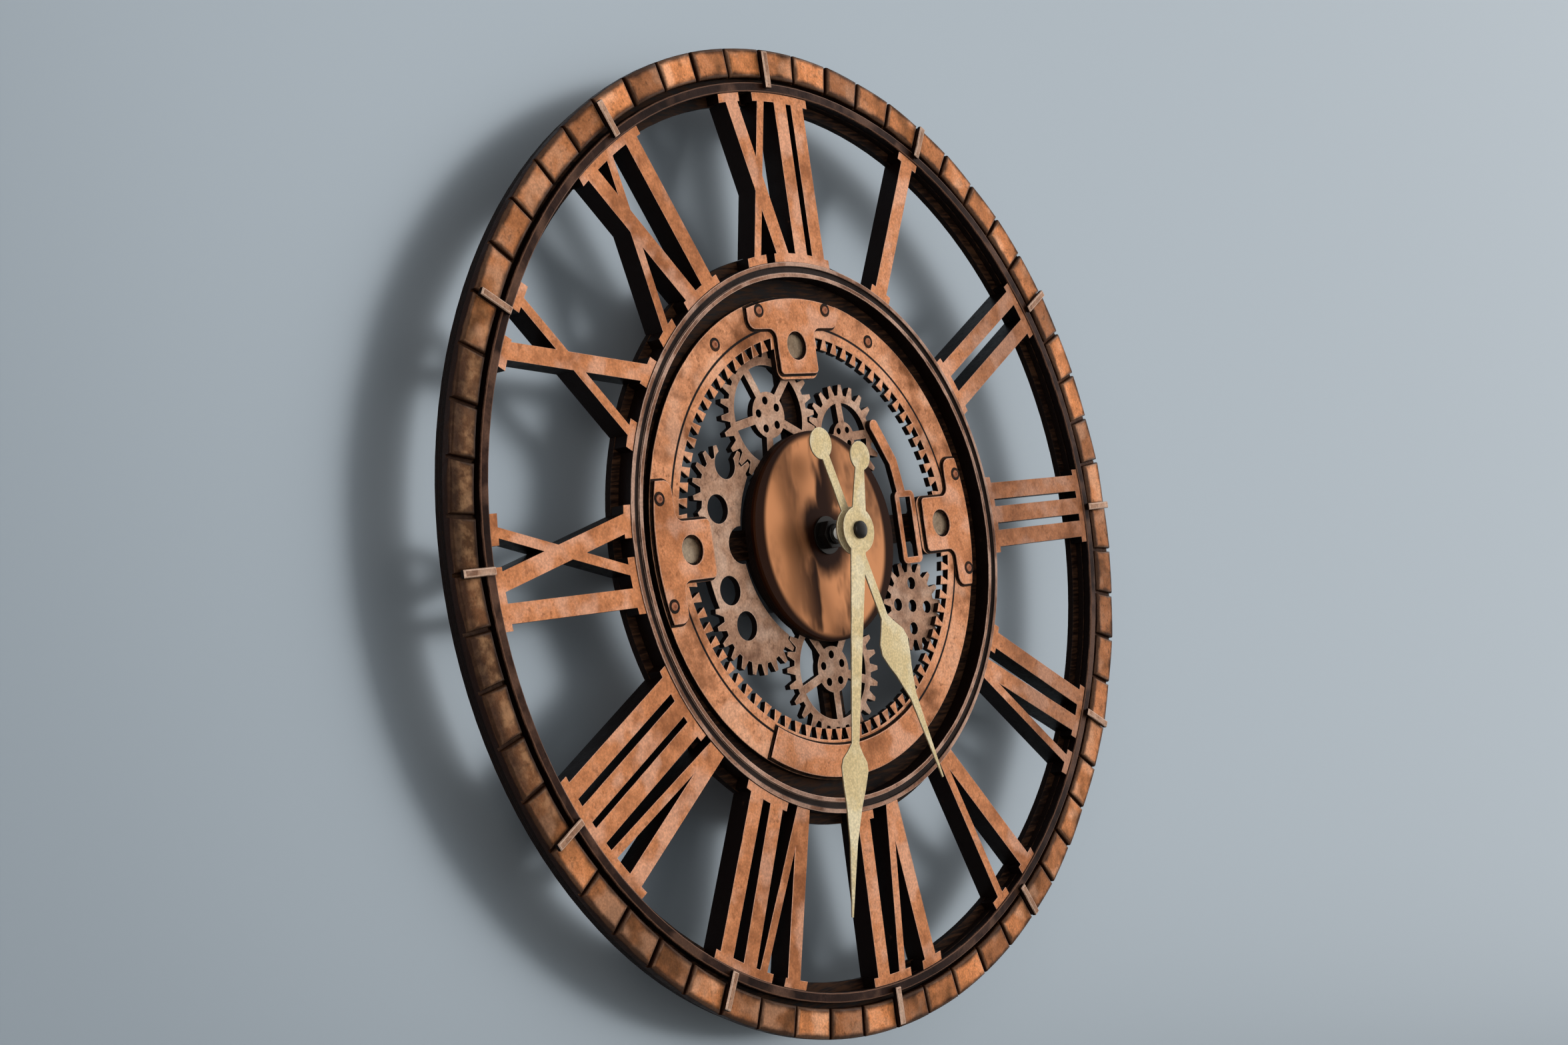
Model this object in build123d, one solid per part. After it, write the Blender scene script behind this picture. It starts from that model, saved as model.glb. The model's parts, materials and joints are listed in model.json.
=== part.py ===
from build123d import *
import os
from math import atan2, cos, degrees, hypot, radians, sin

os.makedirs("parts", exist_ok=True)

# Wall clock cut from wooden sheet and glued in layers: an outer ring of bricks, open Roman
# numerals, an inner ring with a toothed dial of gears, and a battery movement behind it.
# Every piece is drawn flat, with x to the right and y up as seen from the front. Heights are
# measured off the wall. Saving a piece stands it up: its height becomes -Y and its y becomes +Z.

# Layers of sheet, from the wall outwards
CASE_DEPTH = 16.0
RUBBER_THICKNESS = 1.0
SHEET = 3.0
FACE_THICKNESS = 4.0
OVERLAY = 1.5
NUMERAL_DROP = 0.5
RUNNING_GAP = 0.05
GLUE_GAP = 0.1
CUT = 1.0

# Outer ring
CLOCK_RADIUS = 200.0
BRICK_LENGTH = 12.0
BRICK_COUNT = 60
BRICK_GAP = 1.4
BRICK_GAP_DEPTH = 2.4
BRICK_LIP_GAP = 2.0
LIP_WIDTH = 4.0
RIM_INSET = 0.8
BACK_INSET = 1.6
NUMERAL_LEDGE = 4.0
MARKER_COUNT = 12
MARKER_WIDTH = 3.0
MARKER_THICKNESS = 2.6
MARKER_INSET = 1.5

# Inner ring
INNER_RING_RADIUS = 112.0
INNER_RING_WIDTH = 6.2
INNER_GROOVE_INSET = 1.8
INNER_GROOVE_WIDTH = 2.4
INNER_GROOVE_DEPTH = 0.8
DIAL_GAP = 7.3
DIAL_LAP = 12.5

# Roman numerals
BAR_WIDTH = 7.3
THICK_STROKE = 7.4
THIN_STROKE = 4.0
FOOT_WIDTH = 12.4
THIN_FOOT_WIDTH = 11.4
FOOT_LENGTH = 3.6
FOOT_JOIN = 3.2
BAR_PITCH = 10.0

# Toothed dial and its gears
DIAL_RIM = 16.0
RING_TEETH = 80
UPPER_LEFT_TEETH = 26
UPPER_RIGHT_TEETH = 20
UPPER_LOBE_TEETH = 17
LOWER_LOBE_TEETH = 22
LOWER_TEETH = 26
LOWER_RIGHT_TEETH = 17
ROOT_DEPTH_SHARE = 1.25
ROOT_WIDTH_SHARE = 0.66
TIP_WIDTH_SHARE = 0.26
MESH_EASE = 0.3
RIM_WIDTH = 3.2
SPOKE_WIDTH = 3.6
HUB_RADIUS = 9.5
SMALL_HUB_RADIUS = 6.5
HUB_HOLE_RADIUS = 1.7
HUB_HOLE_CIRCLE = 6.0
SMALL_HUB_HOLE_CIRCLE = 3.9
SMALL_HUB_HOLE_RADIUS = 1.4
ROUND_HOLE_RADIUS = 5.8
PLATE_HOLE_WALL = 7.2
LOWER_RIGHT_HOLE_WALL = 2.2
LOWER_RIGHT_HOLE_RADIUS = 2.7
LOWER_RIGHT_INSET = 2.0
NOTCH_RADIUS = 7.5
SMALL_HOLE_SIDES = 12

# Where the gears sit, by distance or by bearing from the one they mesh with
UPPER_LEFT_BEARING = 109.8
UPPER_RIGHT_BEARING = -13.5
UPPER_LOBE_BEARING = 223.2
LOWER_BEARING = 269.0
LOWER_LOBE_BEARING = 147.3
LOWER_RIGHT_BEARING = 329.2
LARGE_GEAR_SPOKES = 5
UPPER_LEFT_SPOKE_START = 191.0
UPPER_LEFT_HOLE_START = 100.0
LOWER_SPOKE_START = 54.0
LOWER_HOLE_START = 90.0
UPPER_RIGHT_SPOKES = 4
UPPER_RIGHT_SPOKE_START = 93.0
UPPER_RIGHT_HOLE_START = 48.0
LOWER_RIGHT_HOLES = 4
LOWER_RIGHT_HOLE_START = 82.0
PLATE_HOLE_BEARINGS = (146.3, 165.0, 197.2, 213.1)
DISC_GAP = 2.0

# Brackets, the arc below them, and rivets
TONGUE_LENGTH = 34.0
TONGUE_HALF_WIDTH = 12.5
BRACKET_MARGIN = 2.0
BRACKET_HALF_WIDTH = 27.5
BRACKET_SHOULDER = 13.5
BRACKET_ROUND = 4.0
BRACKET_HOLE_RADIUS = 5.8
BRACKET_HOLE_INSET = 20.5
ARC_HALF_ANGLE = 31.0
ARC_WIDTH = 13.0
ARC_INSET = 1.0
RIVET_RADIUS = 1.7
RIVET_SIDES = 12
RIVET_HEIGHT = 0.8
RIVET_OFFSET = 20.5
RIVET_INSET = 6.0

# Slotted link between the right-hand gears
LINK_WIDTH = 12.9
LINK_HALF_LENGTH = 15.5
LINK_BAR = 2.8
LINK_CLEAR = 0.6
LINK_ARM_WIDTH = 5.4
LINK_ARM_BOW = 3.0
LINK_ARM_BEARING = 12.0

# Carrier cross, core, spacer and centre disc
CARRIER_RADIUS = 38.0
ARM_WIDTH = 12.0
ARM_EYE_WALL = 5.0
ARM_FOOT_WIDTH = 24.0
ARM_REACH_LAP = 12.0
CORE_GAP = 0.6
DISC_RADIUS = 43.0
DISC_THICKNESS = 2.0
DISC_EDGE = 0.6
SPACER_THICKNESS = 3.5
SPACER_INSET = 0.4

# Movement case, cover and hanger
CASE_WALL = 1.5
CASE_CORNER = 4.0
CASE_EDGE = 0.5
FRONT_WALL = 1.2
COVER_THICKNESS = 1.5
COVER_GAP = 0.1
BAY_CLEARANCE = 0.25
POST_RADIUS = 2.0
BOSS_SIDES = 8
HANGER_WIDTH = 22.0
HANGER_HEIGHT = 11.0
HANGER_THICKNESS = 2.4
HANGER_FLANGE = 1.6
HANGER_DEPTH = 10.0
HANGER_HOLE_RADIUS = 3.5
HANGER_HOLE_WALL = 2.4
RUBBER_RADIUS = 9.0

# Centre fixing
BUSH_RADIUS = 3.95
BUSH_FLANGE_RADIUS = 5.6
BUSH_FLANGE = 1.2
BUSH_PROUD = 6.0
BUSH_CLEARANCE = 0.1
WASHER_RADIUS = 7.8
WASHER_THICKNESS = 0.8
NUT_FLATS = 11.0
NUT_SIDES = 6
NUT_HEIGHT = 4.0

# Arbors and the motion work that drives the hands
MINUTE_ARBOR_RADIUS = 1.5
MINUTE_PIVOT_RADIUS = 0.6
HOUR_TUBE_WALL = 0.9
ARBOR_RADIUS = 0.4
INTERMEDIATE_ARBOR_RADIUS = 0.5
BOSS_WALL = 0.55
BOSS_HEIGHT = 1.0
END_PLAY = 0.1
MOTION_MODULE = 0.5
CANNON_TEETH = 12
INTERMEDIATE_TEETH = 36
INTERMEDIATE_PINION_TEETH = 10
HOUR_TEETH = 40
WHEEL_THICKNESS = 1.0
TRAIN_WHEEL_THICKNESS = 0.8
TRAIN_GAP = 0.4
HOUR_HUB_RADIUS = 3.3
CLUTCH_RADIUS = 2.4
CLUTCH_THICKNESS = 0.7
CENTRE_HUB_RADIUS = 2.6
INTERMEDIATE_BEARING = 20.0
KNOB_BEARING = 80.0
KNOB_RADIUS = 5.0
KNOB_RIDGES = 24
KNOB_RIDGE_DEPTH = 0.4
KNOB_RECESS = 0.4
KNOB_HEIGHT = 2.0
KNOB_CLEARANCE = 0.4
KNOB_SHAFT_RADIUS = 1.0

# Step train, from the magnet rotor to the centre wheel
CENTRE_MODULE = 0.32
TRAIN_MODULE = 0.3
CENTRE_TEETH = 60
THIRD_PINION_TEETH = 8
THIRD_TEETH = 64
SECONDS_PINION_TEETH = 8
SECONDS_TEETH = 60
FIFTH_PINION_TEETH = 10
FIFTH_TEETH = 50
ROTOR_PINION_TEETH = 10
THIRD_BEARING = 150.0
SECONDS_BEARING = 60.0
FIFTH_BEARING = 180.0
ROTOR_BEARING = 215.0
MAGNET_RADIUS = 2.6
MAGNET_LENGTH = 2.6
MAGNET_AIR_GAP = 0.5

# Coil, stator, circuit board and battery
STATOR_THICKNESS = 1.0
STATOR_WALL = 1.1
STATOR_LEG = 2.4
COIL_RADIUS = 2.6
COIL_LENGTH = 7.5
BOBBIN_FLANGE = 0.8
COIL_SIDE_GAP = 0.4
BOARD_THICKNESS = 1.0
BOARD_WIDTH = 18.0
BOARD_DEPTH = 11.0
BOARD_LIFT = 0.8
CRYSTAL_RADIUS = 1.0
CRYSTAL_LENGTH = 6.0
BATTERY_RADIUS = 7.25
BATTERY_LENGTH = 49.3
BATTERY_NUB_RADIUS = 2.75
BATTERY_NUB = 1.2
CONTACT_THICKNESS = 0.5
CONTACT_WIDTH = 9.0
CONTACT_GAP = 0.1
CONTACT_DIMPLE = 0.65

# Hands: distances are measured along the hand from the arbor
HAND_THICKNESS = 0.8
HAND_COLLAR_RADIUS = 3.9
HAND_COLLAR = 1.0
HOUR_HAND_RISE = 12.0
HAND_STEP = 3.1
HAND_FIT = 0.01
ARBOR_TOP = 1.4
MINUTE_HUB_RADIUS = 9.5
MINUTE_LENGTH = 153.6
MINUTE_TAIL = 30.6
MINUTE_BALL_RADIUS = 6.0
MINUTE_ROOT_WIDTH = 9.5
MINUTE_SPADE = 96.0
MINUTE_SPADE_RISE = 10.0
MINUTE_SPADE_FALL = 29.0
MINUTE_SPADE_WIDTH = 16.0
HOUR_HUB_HAND_RADIUS = 9.8
HOUR_LENGTH = 110.0
HOUR_TAIL = 38.0
HOUR_BALL_RADIUS = 6.5
HOUR_ROOT_WIDTH = 4.6
HOUR_SPADE = 51.0
HOUR_SPADE_RISE = 13.0
HOUR_SPADE_FALL = 22.0
HOUR_SPADE_WIDTH = 18.5
SPADE_RISE_SHARES = (0.55, 0.9)
SPADE_FALL_SHARES = (0.82, 0.58)
NECK_WIDTH = 4.4
MINUTE_ANGLE = 194.0
HOUR_ANGLE = 161.5
CAP_RADIUS = 3.6
CAP_HEIGHT = 2.4
CAP_EDGE = 0.8

# Heights of the layers
carrier_low = CASE_DEPTH + RUBBER_THICKNESS
carrier_high = carrier_low + SHEET
base_high = carrier_high + SHEET
dial_high = base_high + SHEET
face_high = dial_high + FACE_THICKNESS
numeral_high = face_high - NUMERAL_DROP
spacer_high = base_high + SPACER_THICKNESS
disc_high = spacer_high + DISC_THICKNESS
nut_low = disc_high + WASHER_THICKNESS

# Radii of the rings
brick_inner = CLOCK_RADIUS - BRICK_LENGTH
lip_outer = brick_inner - BRICK_LIP_GAP
opening_radius = lip_outer - LIP_WIDTH
outer_ledge_radius = opening_radius - NUMERAL_LEDGE
numeral_outer = opening_radius - GLUE_GAP
numeral_inner = INNER_RING_RADIUS + GLUE_GAP
inner_ledge_radius = INNER_RING_RADIUS + NUMERAL_LEDGE
inner_ring_bore = INNER_RING_RADIUS - INNER_RING_WIDTH
dial_radius = inner_ring_bore - DIAL_GAP
dial_back_bore = dial_radius - DIAL_LAP
tongue_reach = dial_radius - TONGUE_LENGTH
bracket_hole_reach = dial_radius - BRACKET_HOLE_INSET
gear_module = (dial_radius - DIAL_RIM) / (RING_TEETH / 2 + ROOT_DEPTH_SHARE)
plate_hole_circle = DISC_RADIUS + DISC_GAP + PLATE_HOLE_WALL + ROUND_HOLE_RADIUS
case_width = BATTERY_LENGTH + BATTERY_NUB + 2 * (
    CONTACT_GAP + CONTACT_DIMPLE + CONTACT_THICKNESS + CASE_WALL)


def polar(distance, bearing, centre=(0, 0)):
    """A point at a distance from a centre, with its bearing counted anticlockwise from +x."""
    turn = radians(bearing)
    return (centre[0] + distance * cos(turn), centre[1] + distance * sin(turn))


def bearing_to(start, end):
    """The bearing, anticlockwise from +x, in which one point sees another."""
    return degrees(atan2(end[1] - start[1], end[0] - start[0]))


def hour_bearing(hour):
    """The bearing of an hour of the dial: 12 is up and the hours run clockwise."""
    return 90 - 30 * hour


def flat(sketch, low, high):
    """A sheet piece: the outline, from one height off the wall to another."""
    return extrude(Pos(0, 0, low) * sketch, amount=high - low)


def annulus(inner, outer):
    """A flat ring."""
    return Circle(outer) - Circle(inner)


def polygon(points):
    """A flat outline through the points."""
    return make_face(Polyline(*points, close=True))


def bar(start, end, width):
    """A flat strip of a given width from one point to another."""
    middle = ((start[0] + end[0]) / 2, (start[1] + end[1]) / 2)
    length = hypot(end[0] - start[0], end[1] - start[1])
    return Pos(*middle) * Rot(0, 0, bearing_to(start, end)) * Rectangle(length, width)


def holes(radius, circle, count, start, centre=(0, 0)):
    """Equal small holes, evenly spaced on a circle, each a polygon that looks round."""
    places = [polar(circle, start + 360 * i / count, centre) for i in range(count)]
    return Sketch() + [Pos(*place) * RegularPolygon(radius, SMALL_HOLE_SIDES) for place in places]


def save(name, shape):
    """Stand the piece up against the wall and write its file."""
    export_step(Rot(90, 0, 0) * shape, f"parts/{name}.step")


def pitch_radius(teeth, module=gear_module):
    """The radius at which a gear rolls on its neighbour."""
    return teeth * module / 2


def tip_radius(teeth, module=gear_module):
    """The outer radius of a gear."""
    return pitch_radius(teeth, module) + module


def root_radius(teeth, module=gear_module):
    """The radius at the foot of a gear's teeth."""
    return pitch_radius(teeth, module) - module * ROOT_DEPTH_SHARE


def toothed(teeth, root, tip, start=0, centre=(0, 0), root_share=ROOT_WIDTH_SHARE,
            tip_share=TIP_WIDTH_SHARE):
    """A toothed outline: each tooth has a root, two flanks and a flat tip."""
    step = 360 / teeth
    corners = ((root, -root_share), (tip, -tip_share), (tip, tip_share), (root, root_share))
    points = []
    for i in range(teeth):
        for radius, share in corners:
            points.append(polar(radius, start + step * (i + share / 2), centre))
    return polygon(points)


def gear_face(teeth, start=0, centre=(0, 0), module=gear_module):
    """The outline of a gear wheel without its openings."""
    return toothed(teeth, root_radius(teeth, module), tip_radius(teeth, module), start, centre)


def pinion_face(teeth, start=0, centre=(0, 0), module=MOTION_MODULE):
    """A small wheel of pointed teeth, as in the movement."""
    step = 360 / teeth
    points = []
    for i in range(teeth):
        points.append(polar(tip_radius(teeth, module), start + step * i, centre))
        points.append(polar(root_radius(teeth, module), start + step * (i + 1 / 2), centre))
    return polygon(points)


def mesh_distance(first, second, module=gear_module, ease=MESH_EASE):
    """How far apart two meshing gears sit."""
    return pitch_radius(first, module) + pitch_radius(second, module) + ease


def spoke_windows(teeth, centre, spokes, start, hub):
    """The openings between the rim, the hub and the spokes of a gear."""
    rim = root_radius(teeth) - RIM_WIDTH
    windows = annulus(hub, rim)
    for i in range(spokes):
        windows -= bar((0, 0), polar(rim + RIM_WIDTH, start + 360 * i / spokes), SPOKE_WIDTH)
    return Pos(*centre) * windows


def meshing_start(start, teeth, bearing, other_teeth):
    """The phase of a second wheel whose gap meets the first wheel's tooth on their line."""
    phase = (bearing - start) * teeth / 360
    return bearing + 180 + 180 / other_teeth + (phase - round(phase)) * 360 / other_teeth


# Places of the gears: three roll inside the toothed ring, the others mesh with these
ring_pitch = pitch_radius(RING_TEETH)
upper_left_place = polar(ring_pitch - pitch_radius(UPPER_LEFT_TEETH), UPPER_LEFT_BEARING)
lower_place = polar(ring_pitch - pitch_radius(LOWER_TEETH), LOWER_BEARING)
lower_right_place = polar(ring_pitch - pitch_radius(LOWER_RIGHT_TEETH) + LOWER_RIGHT_INSET,
                          LOWER_RIGHT_BEARING)
upper_right_place = polar(mesh_distance(UPPER_LEFT_TEETH, UPPER_RIGHT_TEETH),
                          UPPER_RIGHT_BEARING, upper_left_place)
upper_lobe_place = polar(mesh_distance(UPPER_LEFT_TEETH, UPPER_LOBE_TEETH),
                         UPPER_LOBE_BEARING, upper_left_place)
lower_lobe_place = polar(mesh_distance(LOWER_TEETH, LOWER_LOBE_TEETH), LOWER_LOBE_BEARING,
                         lower_place)
core_radius = ring_pitch - pitch_radius(LOWER_TEETH) - tip_radius(LOWER_TEETH) - CORE_GAP


def outer_rings():
    """The back ring, the rim on it, the lip along the opening and the ring of bricks."""
    back = annulus(outer_ledge_radius, CLOCK_RADIUS - BACK_INSET)
    save("outer_back_ring", flat(back, carrier_high, base_high))
    rim = annulus(opening_radius, CLOCK_RADIUS - RIM_INSET)
    save("outer_rim_ring", flat(rim, base_high, dial_high))
    save("outer_lip_ring", flat(annulus(opening_radius, lip_outer), dial_high, face_high))


def brick_ring():
    """Sixty bricks on one ring, parted at every minute by a groove."""
    ring = flat(annulus(brick_inner, CLOCK_RADIUS), dial_high, face_high)
    groove = Pos(CLOCK_RADIUS - BRICK_LENGTH / 2, 0, face_high) * Box(
        BRICK_LENGTH + 2 * CUT, BRICK_GAP, 2 * BRICK_GAP_DEPTH)
    grooves = [Rot(0, 0, 360 * i / BRICK_COUNT) * groove for i in range(BRICK_COUNT)]
    save("brick_ring", ring - grooves)


def hour_markers():
    """Twelve proud bars across the lip and the bricks, each over its hour's groove."""
    length = CLOCK_RADIUS - opening_radius - 2 * MARKER_INSET
    middle = opening_radius + MARKER_INSET + length / 2
    marker = Pos(middle, 0, face_high + MARKER_THICKNESS / 2) * Box(
        length, MARKER_WIDTH, MARKER_THICKNESS)
    markers = [Rot(0, 0, hour_bearing(hour)) * marker for hour in range(MARKER_COUNT)]
    save("hour_markers", Compound(markers))


# Strokes of each numeral, in its own upright view: its kind, then how far its outer and its
# inner end lie to the right of the hour's line, counted in bar pitches
NUMERAL_SHARES = {
    "i": (("bar", -0.2, -0.05),),
    "ii": (("bar", -0.95, -0.95), ("bar", 0.55, 0.55)),
    "iii": (("bar", -1.15, -1.15), ("bar", -0.1, -0.1), ("bar", 0.95, 0.95)),
    "iv": (("bar", -0.5, -0.5), ("thick", 0.75, 0.9), ("thin", 2.65, 1.25)),
    "v": (("thick", -1.25, 0), ("thin", 1.25, 0.4)),
    "vi": (("thick", -2.7, -1.6), ("thin", -0.7, -1.4), ("bar", 0.45, 0.3)),
    "vii": (("thick", -3.6, -2.0), ("thin", -1.7, -1.8), ("bar", -0.95, -0.45),
            ("bar", 0.4, 0.7)),
    "viii": (("thick", -3.5, -2.6), ("thin", -2.0, -2.25), ("bar", -1.1, -1.1),
             ("bar", -0.1, -0.1), ("bar", 0.95, 0.95)),
    "ix": (("bar", -1.55, -1.55), ("thick", -0.5, 1.3), ("thin", 1.45, -0.6)),
    "x": (("thick", -1.45, 1.4), ("thin", 0.85, -1.3)),
    "xi": (("thick", -2.05, -0.3), ("thin", -0.6, -2.5), ("bar", 0.8, 0.8)),
    "xii": (("thick", -2.25, -0.2), ("thin", -0.25, -1.9), ("bar", 0.85, 0.85),
            ("bar", 1.9, 1.9)),
}
STROKE_WIDTHS = {"bar": BAR_WIDTH, "thick": THICK_STROKE, "thin": THIN_STROKE}
FOOT_WIDTHS = {"bar": FOOT_WIDTH, "thick": FOOT_WIDTH, "thin": THIN_FOOT_WIDTH}


def stroke(kind, outer_u, inner_u):
    """A numeral stroke between the rings, drawn past both so that they can trim it."""
    lean = (outer_u - inner_u) / (numeral_outer - numeral_inner)
    low, high = numeral_inner - FOOT_WIDTH, numeral_outer + FOOT_WIDTH
    low_u, high_u = inner_u - lean * FOOT_WIDTH, outer_u + lean * FOOT_WIDTH
    half = STROKE_WIDTHS[kind] / 2
    return polygon([(low_u - half, low), (low_u + half, low), (high_u + half, high),
                    (high_u - half, high)])


def feet(ends, inner, outer):
    """Feet that follow the ring they stand on. Neighbours are joined where little parts them."""
    spans = sorted((u - FOOT_WIDTHS[kind] / 2, u + FOOT_WIDTHS[kind] / 2) for kind, u in ends)
    joined = []
    for left, right in spans:
        if joined and left - joined[-1][1] < FOOT_JOIN:
            first_left, first_right = joined.pop()
            left = first_left
            right = max(first_right, right)
        joined.append((left, right))
    middle = (inner + outer) / 2
    wide = Sketch() + [Pos((left + right) / 2, middle) * Rectangle(right - left, 2 * FOOT_WIDTH)
                       for left, right in joined]
    return wide & annulus(inner, outer)


def numeral(hour, text):
    """A Roman numeral with its top outwards, let in over the ledges of both rings. The slanting
    strokes of a V meet at the inner ring, so they have no feet there."""
    strokes = [(kind, outer_share * BAR_PITCH, inner_share * BAR_PITCH)
               for kind, outer_share, inner_share in NUMERAL_SHARES[text]]
    outline = Sketch() + [stroke(*ends) for ends in strokes]
    outline &= annulus(numeral_inner, numeral_outer)
    outline += feet([(kind, outer_u) for kind, outer_u, inner_u in strokes],
                    numeral_outer - FOOT_LENGTH, numeral_outer)
    standing = [(kind, inner_u) for kind, outer_u, inner_u in strokes
                if kind == "bar" or "v" not in text]
    if standing:
        outline += feet(standing, numeral_inner, numeral_inner + FOOT_LENGTH)
    solid = flat(outline, carrier_high, numeral_high)
    solid -= flat(annulus(INNER_RING_RADIUS - CUT, inner_ledge_radius + GLUE_GAP),
                  carrier_high, base_high)
    solid -= flat(annulus(outer_ledge_radius - GLUE_GAP, opening_radius + CUT),
                  carrier_high, base_high)
    save(f"numeral_{text}", Rot(0, 0, hour_bearing(hour) - 90) * solid)


def inner_rings():
    """The back ring that carries the dial, and the grooved ring that stands on it."""
    back = annulus(dial_back_bore, inner_ledge_radius)
    save("inner_back_ring", flat(back, carrier_high, base_high))
    ring = flat(annulus(inner_ring_bore, INNER_RING_RADIUS), base_high, face_high)
    groove_inner = inner_ring_bore + INNER_GROOVE_INSET
    groove = annulus(groove_inner, groove_inner + INNER_GROOVE_WIDTH)
    ring -= flat(groove, face_high - INNER_GROOVE_DEPTH, face_high + CUT)
    save("inner_face_ring", ring)


def tongue():
    """A tongue of the toothed dial, pointing at the arbor, with a rounded end."""
    middle = (tongue_reach + dial_radius) / 2
    strip = Pos(0, middle) * Rectangle(2 * TONGUE_HALF_WIDTH, dial_radius - tongue_reach)
    inner = strip.vertices().group_by(Axis.Y)[0]
    return fillet(inner, BRACKET_ROUND) & Circle(dial_radius)


def toothed_dial():
    """The dial ring with eighty inward teeth and three tongues."""
    root = ring_pitch + gear_module * ROOT_DEPTH_SHARE
    tip = ring_pitch - gear_module
    outline = Circle(dial_radius) - toothed(RING_TEETH, root, tip, root_share=TIP_WIDTH_SHARE,
                                            tip_share=ROOT_WIDTH_SHARE)
    for turn in (0, 90, -90):
        outline += Rot(0, 0, turn) * tongue()
        outline -= Pos(*polar(bracket_hole_reach, 90 + turn)) * Circle(BRACKET_HOLE_RADIUS)
    save("toothed_dial", flat(outline, base_high, dial_high))


def bracket_face():
    """The plate over a tongue: wide at the rim, with hollow shoulders down to a neck."""
    neck = TONGUE_HALF_WIDTH - BRACKET_MARGIN / 2
    low = tongue_reach + BRACKET_MARGIN
    shoulder = dial_radius - BRACKET_SHOULDER
    wide = BRACKET_HALF_WIDTH
    top = Pos(0, (shoulder + dial_radius) / 2) * Rectangle(2 * wide, dial_radius - shoulder)
    top = fillet(top.vertices().group_by(Axis.Y)[0], BRACKET_ROUND)
    stem = Pos(0, (low + dial_radius) / 2) * Rectangle(2 * neck, dial_radius - low)
    face = fillet((top + stem).vertices().sort_by(Axis.Y)[:2], BRACKET_ROUND / 2)
    inner = [v for v in face.vertices() if abs(v.Y - shoulder) < GLUE_GAP
             and abs(abs(v.X) - neck) < GLUE_GAP]
    face = fillet(inner, BRACKET_ROUND)
    face -= Pos(0, bracket_hole_reach) * Circle(BRACKET_HOLE_RADIUS)
    return face & Circle(dial_radius - BRACKET_MARGIN / 2)


def brackets():
    """Three brackets on the tongues, at twelve, nine and three."""
    for name, turn in (("bracket_top", 0), ("bracket_left", 90), ("bracket_right", -90)):
        save(name, flat(Rot(0, 0, turn) * bracket_face(), dial_high, dial_high + OVERLAY))


def lower_arc_plate():
    """The plain arc that takes the place of a bracket above six."""
    outer = dial_radius - ARC_INSET
    reach = 2 * CLOCK_RADIUS
    wedge = polygon([(0, 0), polar(reach, 270 - ARC_HALF_ANGLE), polar(reach, 270 + ARC_HALF_ANGLE)])
    arc = annulus(outer - ARC_WIDTH, outer) & wedge
    save("lower_arc_plate", flat(arc, dial_high, dial_high + OVERLAY))


def rivets():
    """Low round rivets: two on each bracket and two on the dial between the brackets."""
    low = dial_high + OVERLAY
    reach = dial_radius - RIVET_INSET
    rivet = flat(RegularPolygon(RIVET_RADIUS, RIVET_SIDES), 0, RIVET_HEIGHT)
    solids = []
    for turn in (0, 90, -90):
        for side in (-1, 1):
            solids.append(Rot(0, 0, turn) * Pos(side * RIVET_OFFSET, reach, low) * rivet)
    for side in (-1, 1):
        x, y = polar(dial_radius - RIVET_INSET, 90 + side * ARC_HALF_ANGLE)
        solids.append(Pos(x, y, dial_high) * rivet)
    save("rivets", Compound(solids))


def upper_gears():
    """The two spoked gears above the centre disc, which mesh with each other."""
    towards = bearing_to(upper_left_place, upper_right_place)
    left = gear_face(UPPER_LEFT_TEETH, towards, upper_left_place)
    left -= spoke_windows(UPPER_LEFT_TEETH, upper_left_place, LARGE_GEAR_SPOKES,
                          UPPER_LEFT_SPOKE_START, HUB_RADIUS)
    left -= holes(HUB_HOLE_RADIUS, HUB_HOLE_CIRCLE, LARGE_GEAR_SPOKES, UPPER_LEFT_HOLE_START,
                  upper_left_place)
    save("gear_upper_left", flat(left, carrier_high, base_high))
    start = towards + 180 + 180 / UPPER_RIGHT_TEETH
    right = gear_face(UPPER_RIGHT_TEETH, start, upper_right_place)
    right -= spoke_windows(UPPER_RIGHT_TEETH, upper_right_place, UPPER_RIGHT_SPOKES,
                           UPPER_RIGHT_SPOKE_START, SMALL_HUB_RADIUS)
    right -= holes(SMALL_HUB_HOLE_RADIUS, SMALL_HUB_HOLE_CIRCLE, UPPER_RIGHT_SPOKES,
                   UPPER_RIGHT_HOLE_START, upper_right_place)
    save("gear_upper_right", flat(right, carrier_high, base_high))


def lower_gears():
    """The spoked gear above six and the drilled gear beside it."""
    towards = bearing_to(lower_place, lower_lobe_place)
    lower = gear_face(LOWER_TEETH, towards, lower_place)
    lower -= spoke_windows(LOWER_TEETH, lower_place, LARGE_GEAR_SPOKES, LOWER_SPOKE_START,
                           HUB_RADIUS)
    lower -= holes(HUB_HOLE_RADIUS, HUB_HOLE_CIRCLE, LARGE_GEAR_SPOKES, LOWER_HOLE_START,
                   lower_place)
    save("gear_lower", flat(lower, carrier_high, base_high))
    drilled = gear_face(LOWER_RIGHT_TEETH, 0, lower_right_place)
    circle = root_radius(LOWER_RIGHT_TEETH) - LOWER_RIGHT_HOLE_WALL - LOWER_RIGHT_HOLE_RADIUS
    drilled -= holes(LOWER_RIGHT_HOLE_RADIUS, circle, LOWER_RIGHT_HOLES, LOWER_RIGHT_HOLE_START,
                     lower_right_place)
    drilled -= holes(LOWER_RIGHT_HOLE_RADIUS, 0, 1, 0, lower_right_place)
    save("gear_lower_right", flat(drilled, carrier_high, base_high))


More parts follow.
